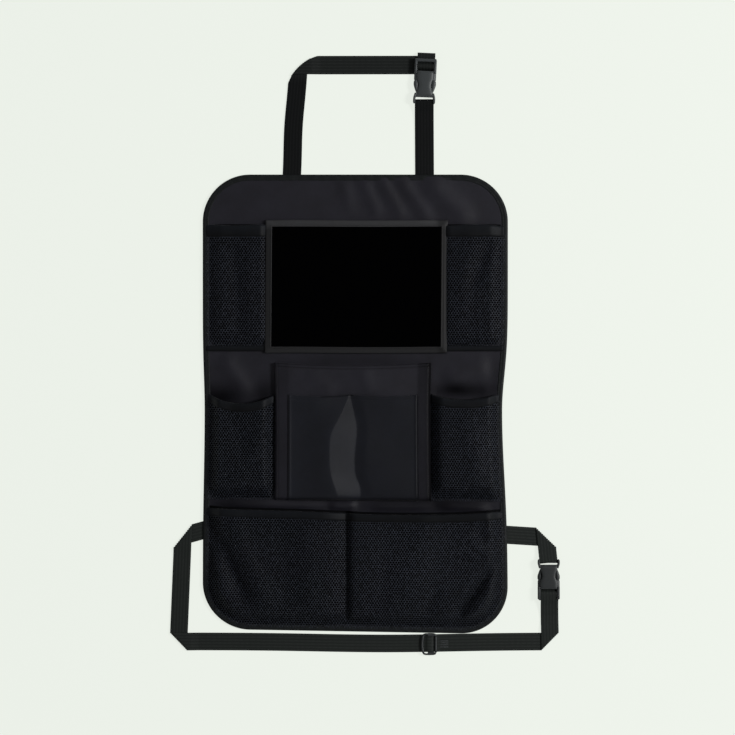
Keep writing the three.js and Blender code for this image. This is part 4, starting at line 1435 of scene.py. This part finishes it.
def strap(name, start, heading, width, length, folds, lift, step=0.0020):
    """Webbing as one flat strip, folded over each crease line in turn.

    A fold is the point its crease passes through and the heading it leaves on. lift gives
    the strip's height over the table at a distance along it."""
    along = [np.arange(0, length + step / 2, step)]
    along += [fold["at"] + np.linspace(-0.022, 0.024, 160) for fold in folds]
    along = np.unique(np.round(np.clip(np.concatenate(along), 0, length), 6))
    across, over = webbing_section(width)
    count = len(across)
    s = np.repeat(along[:, None], count, axis=1)
    t = np.repeat(across[None, :], len(along), axis=0)
    forward, sideways = turned(heading), turned(heading, 90)
    x = start[0] + s * forward[0] + t * sideways[0]
    y = start[1] + s * forward[1] + t * sideways[1]
    x, y, z, normal = folded(x, y, lying_height + lift(s), folds)
    x, y = as_it_lies(x, y)
    points = np.stack([x, y, z], axis=-1) + normal * over[None, :, None]
    index = np.arange(len(along) * count).reshape(len(along), count)
    beside = np.roll(index, -1, axis=1)
    corners = (index[:-1], beside[:-1], beside[1:], index[1:])
    faces = np.stack([corner.ravel() for corner in corners], axis=1).tolist()
    faces.append(tuple(index[0, ::-1].tolist()))
    faces.append(tuple(index[-1].tolist()))
    piece = add_object(name, points.reshape(-1, 3), faces, webbing_material)
    mesh = piece.data
    order = np.empty(len(mesh.loops), np.int32)
    mesh.loops.foreach_get("vertex_index", order)
    uv = np.stack([s.ravel()[order], t.ravel()[order]], axis=1).astype(np.float32)
    mesh.uv_layers.new(name="along_strap").data.foreach_set("uv", uv.ravel())
    mesh.update()
    return piece


def route(corners, width):
    """Lengths and folds of a strap laid from corner to corner, and how it settles again."""
    headings, lengths = [], []
    for (x0, y0), (x1, y1) in zip(corners, corners[1:]):
        headings.append(math.degrees(math.atan2(y1 - y0, x1 - x0)))
        lengths.append(math.hypot(x1 - x0, y1 - y0))
    folds, at = [], 0.0
    for number in range(1, len(headings)):
        at += lengths[number - 1]
        before, after = headings[number - 1], headings[number]
        folds.append({"point": corners[number], "from": before, "heading": after, "at": at})

    def lift(s):
        height = np.zeros_like(s)
        for fold in folds:
            beyond = s - fold["at"]
            settle = smooth((beyond - width * 0.55) / (width * 0.75))
            height = height - 2 * fold_radius * settle
        return height

    return headings[0], sum(lengths), folds, lift


def eased(at, points):
    """A height along a strap, from a few points, with its corners rounded."""
    places, heights = zip(*points)
    shifts = np.linspace(-0.0012, 0.0012, 7)
    return sum(np.interp(at + shift, places, heights) for shift in shifts) / len(shifts)


top_buckle = {
    "origin": (0.0899, 0.39199),
    "heading": 87.5,
    "slot": 0.0060,
    "mouth": 0.0106,
    "shoulder": 0.0300,
    "sleeve": 0.0425,
    "end": 0.0588,
}
lower_buckle = {
    "origin": (0.25320, -0.20460),
    "heading": -90.0,
    "slot": 0.0046,
    "mouth": 0.0084,
    "shoulder": 0.0270,
    "sleeve": 0.0387,
    "end": 0.0537,
}


def buckle_place(buckle, u, v=0.0):
    """A point of a buckle: u from its plug's end towards its socket, v to the left."""
    along, left = turned(buckle["heading"]), turned(buckle["heading"], 90)
    x = buckle["origin"][0] + u * along[0] + v * left[0]
    y = buckle["origin"][1] + u * along[1] + v * left[1]
    return x, y


def over_plug_bar(length, slot):
    """Webbing that rises over a plug's bar and turns down into the slot."""
    end = length - slot
    points = [
        (end - 0.0240, 0.0),
        (end - 0.0100, 0.0012),
        (end - 0.0010, 0.0044),
        (end + slot - 0.0030, 0.0056),
        (end + slot - 0.0012, 0.0050),
        (end + slot, 0.0026),
    ]
    return lambda s: eased(s, points)


top_corners = [(-0.0832, 0.2960), (-0.0744, 0.4430), (0.1030, 0.4432)]
top_heading, top_length, top_folds, top_lift = route(top_corners, 0.024)
top_long = strap(
    "top_strap_run", top_corners[0], top_heading, 0.0243, top_length, top_folds, top_lift
)
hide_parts("top_strap_long")

leg_start = (0.0908, 0.2960)
leg_length = math.dist(leg_start, top_buckle["origin"]) + top_buckle["slot"]
leg_lift = over_plug_bar(leg_length, top_buckle["slot"])
top_short = strap("top_strap_leg", leg_start, 90.3, 0.0248, leg_length, [], leg_lift, 0.0006)
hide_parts("top_strap_short")

# The webbing goes up through the top socket, over its inner bar and under its outer one,
# and turns down behind it in a short loop.
tail_heights = [
    (0.0000, 0.0024),
    (0.0016, 0.0058),
    (0.0042, 0.0076),
    (0.0072, 0.0076),
    (0.0108, 0.0040),
    (0.0130, 0.0030),
    (0.0205, 0.0034),
    (0.0222, 0.0026),
    (0.0234, 0.0004),
]
tail_start = buckle_place(top_buckle, 0.0436, -0.0006)


def tail_lift(s):
    return eased(s, tail_heights)


top_tail = strap(
    "top_strap_tail", tail_start, top_buckle["heading"], 0.0233, 0.0236, [], tail_lift, 0.0006
)

lower_corners = [
    (-0.1930, -0.1650),
    (-0.2260, -0.1742),
    (-0.2317, -0.3125),
    (0.2552, -0.3125),
    (0.2540, -0.2424),
]
slider_x = 0.0969
lower_heading, lower_length, lower_folds, lower_lift = route(lower_corners, 0.022)
slider_at = lower_folds[1]["at"] + slider_x - lower_corners[2][0]
slider_heights = [
    (-0.0120, 0.0),
    (-0.0090, 0.0006),
    (-0.0046, 0.0006),
    (-0.0028, 0.0019),
    (0.0036, 0.0019),
    (0.0056, 0.0006),
    (0.0100, 0.0006),
    (0.0130, 0.0),
]
socket_heights = [
    (-0.0360, 0.0),
    (-0.0220, 0.0024),
    (-0.0150, 0.0050),
    (-0.0080, 0.0064),
    (-0.0044, 0.0060),
    (-0.0028, 0.0034),
    (0.0000, 0.0024),
]


def lower_heights(s):
    """The lower strap's height: down after each fold, over the slider, into the socket."""
    over_slider = eased(s - slider_at, slider_heights)
    through_socket = eased(s - lower_length, socket_heights)
    return lower_lift(s) + over_slider + through_socket


lower_long = strap(
    "lower_strap_run",
    lower_corners[0],
    lower_heading,
    0.0232,
    lower_length,
    lower_folds,
    lower_heights,
    0.0012,
)
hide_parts("lower_strap_long")

short_corners = [(0.1930, -0.1724), (0.2500, -0.1760), (0.2532, -0.2096)]
short_heading, short_length, short_folds, short_lift = route(short_corners, 0.022)
over_lower_plug = over_plug_bar(short_length, lower_buckle["slot"])


def short_heights(s):
    """The short lower strap's height: down after its fold, then over the plug's bar."""
    return short_lift(s) + over_lower_plug(s)


lower_short = strap(
    "lower_strap_arm",
    short_corners[0],
    short_heading,
    0.0238,
    short_length,
    short_folds,
    short_heights,
    0.0006,
)
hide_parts("lower_strap_short")

# Buckles and slider
# A side-release buckle closes each strap, and a slider takes up the lower one's slack. All
# are moulded of satin black plastic; their rounded bars carry the webbing.
plastic_dark = (0.019, 0.022, 0.023)
plastic_pale = (0.028, 0.032, 0.033)
moulding_middle = 0.0057
collar_middle = 0.0048
buckle_plastic = speckled_material("buckle_plastic", 1800.0, plastic_dark, plastic_pale)
add_relief(buckle_plastic, noise(buckle_plastic, 1800.0), 0.2, 0.0001)
set_gloss(buckle_plastic, 0.50, 0.34)
# The upper mouldings are paler than the lower ones.
plastic_tone_by_height = share_along(buckle_plastic, "Y", -0.10, 0.30, 0.60, 1.20, "LINEAR")
scale_colour(buckle_plastic, plastic_tone_by_height)
# Where the two buckles differ: the height of the prongs, the place and the height of the bar
# past the sleeve, the height and half length of the outer bar, and how square the sleeve is.
top_buckle.update(prong_z=0.0050, inner_past=0.0068, inner_z=0.0056)
top_buckle.update(outer_z=0.0068, outer_half=0.0140, squareness=3.4)
lower_buckle.update(prong_z=0.0042, inner_past=0.0050, inner_z=0.0046)
lower_buckle.update(outer_z=0.0036, outer_half=0.0130, squareness=5.5)


def rounded_ends(stations, radius):
    """Stations of a moulded bar with both its ends rounded over."""
    stations = np.array(stations, float)

    def end(first, second):
        towards = second[:3] - first[:3]
        towards /= np.linalg.norm(towards)
        for turn in np.radians([90, 60, 30, 0]):
            station = first.copy()
            station[:3] += towards * radius * (1 - math.sin(turn))
            station[3:] -= radius * (1 - math.cos(turn))
            yield station

    front = list(end(stations[0], stations[1]))
    back = list(end(stations[-1], stations[-2]))[::-1]
    return np.array(front + list(stations[1:-1]) + back)


def add_bar(moulding, stations, power=3.0, around=28):
    """A moulded bar along stations of u, v, z, half width and half height."""
    stations = np.array(stations, float)
    ahead = np.gradient(stations[:, :2], axis=0)
    ahead /= np.linalg.norm(ahead, axis=1, keepdims=True)
    side = np.stack([-ahead[:, 1], ahead[:, 0]], axis=1)
    angle = np.linspace(0, 2 * math.pi, around, endpoint=False)
    across = np.sign(np.cos(angle)) * np.abs(np.cos(angle)) ** (2 / power)
    upward = np.sign(np.sin(angle)) * np.abs(np.sin(angle)) ** (2 / power)
    base = len(moulding["points"])
    for station, direction in zip(stations, side):
        for a, b in zip(across, upward):
            u, v = station[:2] + direction * a * station[3]
            moulding["points"].append((u, v, station[2] + b * station[4]))
    for row in range(len(stations) - 1):
        for step in range(around):
            one = base + row * around + step
            two = base + row * around + (step + 1) % around
            moulding["faces"].append((one, one + around, two + around, two))
    last = base + (len(stations) - 1) * around
    moulding["faces"].append(tuple(base + step for step in range(around)))
    moulding["faces"].append(tuple(last + step for step in reversed(range(around))))


def cross_bar(moulding, u, z, reach, half_width, half_height, steps=7, power=2.4, rounding=0.0):
    """A straight bar across a moulding, from -reach to reach, its ends rounded or plain."""
    bar = [(u, v, z, half_width, half_height) for v in np.linspace(-reach, reach, steps)]
    add_bar(moulding, rounded_ends(bar, rounding) if rounding else bar, power=power)


def moulded_piece(name, moulding, buckle, node_name):
    """The finished moulding at its buckle's place, standing for its CAD node."""
    local = np.array(moulding["points"])
    x, y = buckle_place(buckle, local[:, 0], local[:, 1])
    points = np.stack([x, y, local[:, 2]], axis=1)
    piece = add_object(name, points, moulding["faces"], buckle_plastic)
    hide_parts(node_name)
    return piece


# The plug has a bar for the webbing between two ears, and two prongs that spring out
# through the notches of the socket.
for buckle, where in ((top_buckle, "top"), (lower_buckle, "lower")):
    mouth, shoulder = buckle["mouth"], buckle["shoulder"]
    prong_z = buckle["prong_z"]
    plug = {"points": [], "faces": []}
    for hand in (-1, 1):
        ear = [
            (0.0000, hand * 0.0125, 0.0054, 0.0013, 0.0026),
            (0.0020, hand * 0.0130, 0.0056, 0.0015, 0.0032),
            (mouth * 0.60, hand * 0.0130, 0.0057, 0.0016, 0.0034),
            (mouth * 0.85, hand * 0.0124, 0.0057, 0.0017, 0.0034),
            (mouth + 0.0030, hand * 0.0110, 0.0057, 0.0018, 0.0032),
        ]
        add_bar(plug, rounded_ends(ear, 0.0008), power=2.4)
        prong = [
            (mouth + 0.0040, hand * 0.0098, prong_z, 0.0014, 0.0024),
            (mouth + 0.0080, hand * 0.0106, prong_z, 0.0022, 0.0028),
            (mouth + 0.0120, hand * 0.0113, prong_z, 0.0028, 0.0029),
            (shoulder - 0.0050, hand * 0.0116, prong_z, 0.0031, 0.0029),
            (shoulder - 0.0015, hand * 0.0117, prong_z, 0.0029, 0.0028),
            (shoulder + 0.0010, hand * 0.0117, prong_z, 0.0020, 0.0024),
        ]
        add_bar(plug, rounded_ends(prong, 0.0006), power=2.4)
    cross_bar(plug, 0.0030, 0.0042, 0.0125, 0.0019, 0.0017)
    base_u = buckle["slot"] + 0.0049
    cross_bar(plug, base_u, moulding_middle, 0.0112, 0.0026, 0.0030, power=3.0, rounding=0.0008)
    moulded_piece(f"{where}_plug_moulding", plug, buckle, f"{where}_buckle_plug")

    # The socket is a pillow-shaped sleeve with a notch in each side, and carries two bars
    # for the webbing between its rails.
    socket = {"points": [], "faces": []}
    sleeve_end = buckle["sleeve"]
    sleeve = [
        (mouth, 0.0, moulding_middle, 0.0112, 0.0036),
        (mouth + 0.0016, 0.0, moulding_middle, 0.0114, 0.0040),
        (mouth + 0.0040, 0.0, moulding_middle, 0.0108, 0.0040),
        (mouth + 0.0075, 0.0, moulding_middle, 0.0097, 0.0040),
        (mouth + 0.0110, 0.0, moulding_middle, 0.0089, 0.0040),
        (shoulder - 0.0060, 0.0, moulding_middle, 0.0086, 0.0040),
        (shoulder - 0.0032, 0.0, moulding_middle, 0.0090, 0.0040),
        (shoulder - 0.0016, 0.0, moulding_middle, 0.0096, 0.0040),
        (shoulder + 0.0010, 0.0, moulding_middle, 0.0106, 0.0040),
        (shoulder + 0.0030, 0.0, moulding_middle, 0.0110, 0.0040),
        (sleeve_end - 0.0030, 0.0, moulding_middle, 0.0112, 0.0039),
        (sleeve_end, 0.0, moulding_middle, 0.0112, 0.0038),
    ]
    add_bar(socket, rounded_ends(sleeve, 0.0009), power=buckle["squareness"], around=48)
    collar = [
        (shoulder - 0.0012, 0.0, collar_middle, 0.0116, 0.0026),
        (shoulder - 0.0002, 0.0, collar_middle, 0.0136, 0.0029),
        (shoulder + 0.0014, 0.0, collar_middle, 0.0144, 0.0030),
        (sleeve_end - 0.0030, 0.0, collar_middle, 0.0144, 0.0030),
        (sleeve_end, 0.0, collar_middle, 0.0144, 0.0029),
    ]
    add_bar(socket, rounded_ends(collar, 0.0007), power=2.8, around=48)
    lip_u = sleeve_end - 0.0008
    cross_bar(socket, lip_u, 0.0090, 0.0108, 0.0008, 0.0008, 9, power=2.2, rounding=0.0005)
    for hand in (-1, 1):
        rail = [
            (sleeve_end - 0.0030, hand * 0.0125, 0.0056, 0.0020, 0.0032),
            (buckle["end"] - 0.0016, hand * 0.0125, 0.0056, 0.0020, 0.0030),
        ]
        add_bar(socket, rounded_ends(rail, 0.0007), power=2.6)
    inner_u = sleeve_end + buckle["inner_past"]
    cross_bar(socket, inner_u, buckle["inner_z"], 0.0128, 0.0016, 0.0015, power=2.2)
    outer_u, outer_z, outer_half = buckle["end"] - 0.0021, buckle["outer_z"], buckle["outer_half"]
    cross_bar(socket, outer_u, outer_z, outer_half, 0.0021, 0.0019, 9, power=2.2, rounding=0.0007)
    moulded_piece(f"{where}_socket_moulding", socket, buckle, f"{where}_buckle_socket")

# The slider is a frame with a bowed outer bar. The webbing goes under its two outer bars and
# over its middle one.
slider_frame = {"origin": (slider_x, -0.3158), "heading": 0.0}
slider = {"points": [], "faces": []}
bowed = [
    (-0.0078 - 0.0015 * math.cos(v / 0.0118 * math.pi / 2), v, 0.0034, 0.0014, 0.0013)
    for v in np.linspace(0.0112, -0.0112, 11)
]
add_bar(slider, bowed, power=2.2)
cross_bar(slider, 0.0086, 0.0032, -0.0108, 0.0013, 0.0012, power=2.2)
cross_bar(slider, 0.0006, 0.0011, -0.0126, 0.0024, 0.0006, power=2.2)
for hand in (-1, 1):
    end_bar = [
        (-0.0080, hand * 0.0108, 0.0034, 0.0013, 0.0013),
        (-0.0070, hand * 0.0124, 0.0034, 0.0013, 0.0013),
        (-0.0048, hand * 0.0132, 0.0034, 0.0012, 0.0013),
        (-0.0022, hand * 0.0132, 0.0034, 0.0012, 0.0013),
        (-0.0010, hand * 0.0124, 0.0030, 0.0022, 0.0013),
        (0.0056, hand * 0.0122, 0.0030, 0.0022, 0.0013),
        (0.0076, hand * 0.0122, 0.0033, 0.0015, 0.0012),
        (0.0087, hand * 0.0106, 0.0032, 0.0012, 0.0012),
    ]
    add_bar(slider, rounded_ends(end_bar, 0.0006), power=2.2)
moulded_piece("slider_moulding", slider, slider_frame, "strap_slider")

# Grey stitching holds the webbing's end beside the slider.
grey_dark = (0.040, 0.043, 0.046)
grey_pale = (0.085, 0.090, 0.095)
grey_thread = speckled_material("grey_thread", 2500.0, grey_dark, grey_pale)
set_gloss(grey_thread, 0.6, 0.5)
tack_rows = (-0.3118, -0.3144, -0.3170, -0.3196)
tack_start, tack_end, tack_height = slider_x + 0.0138, slider_x + 0.0264, 0.0017
bar_tacks = [[(tack_start, row, tack_height), (tack_end, row, tack_height)] for row in tack_rows]
tacks = stitches("slider_stitches", bar_tacks, length=0.0116, radius=0.00032)
tacks.data.materials[0] = grey_thread

bpy.context.view_layer.update()
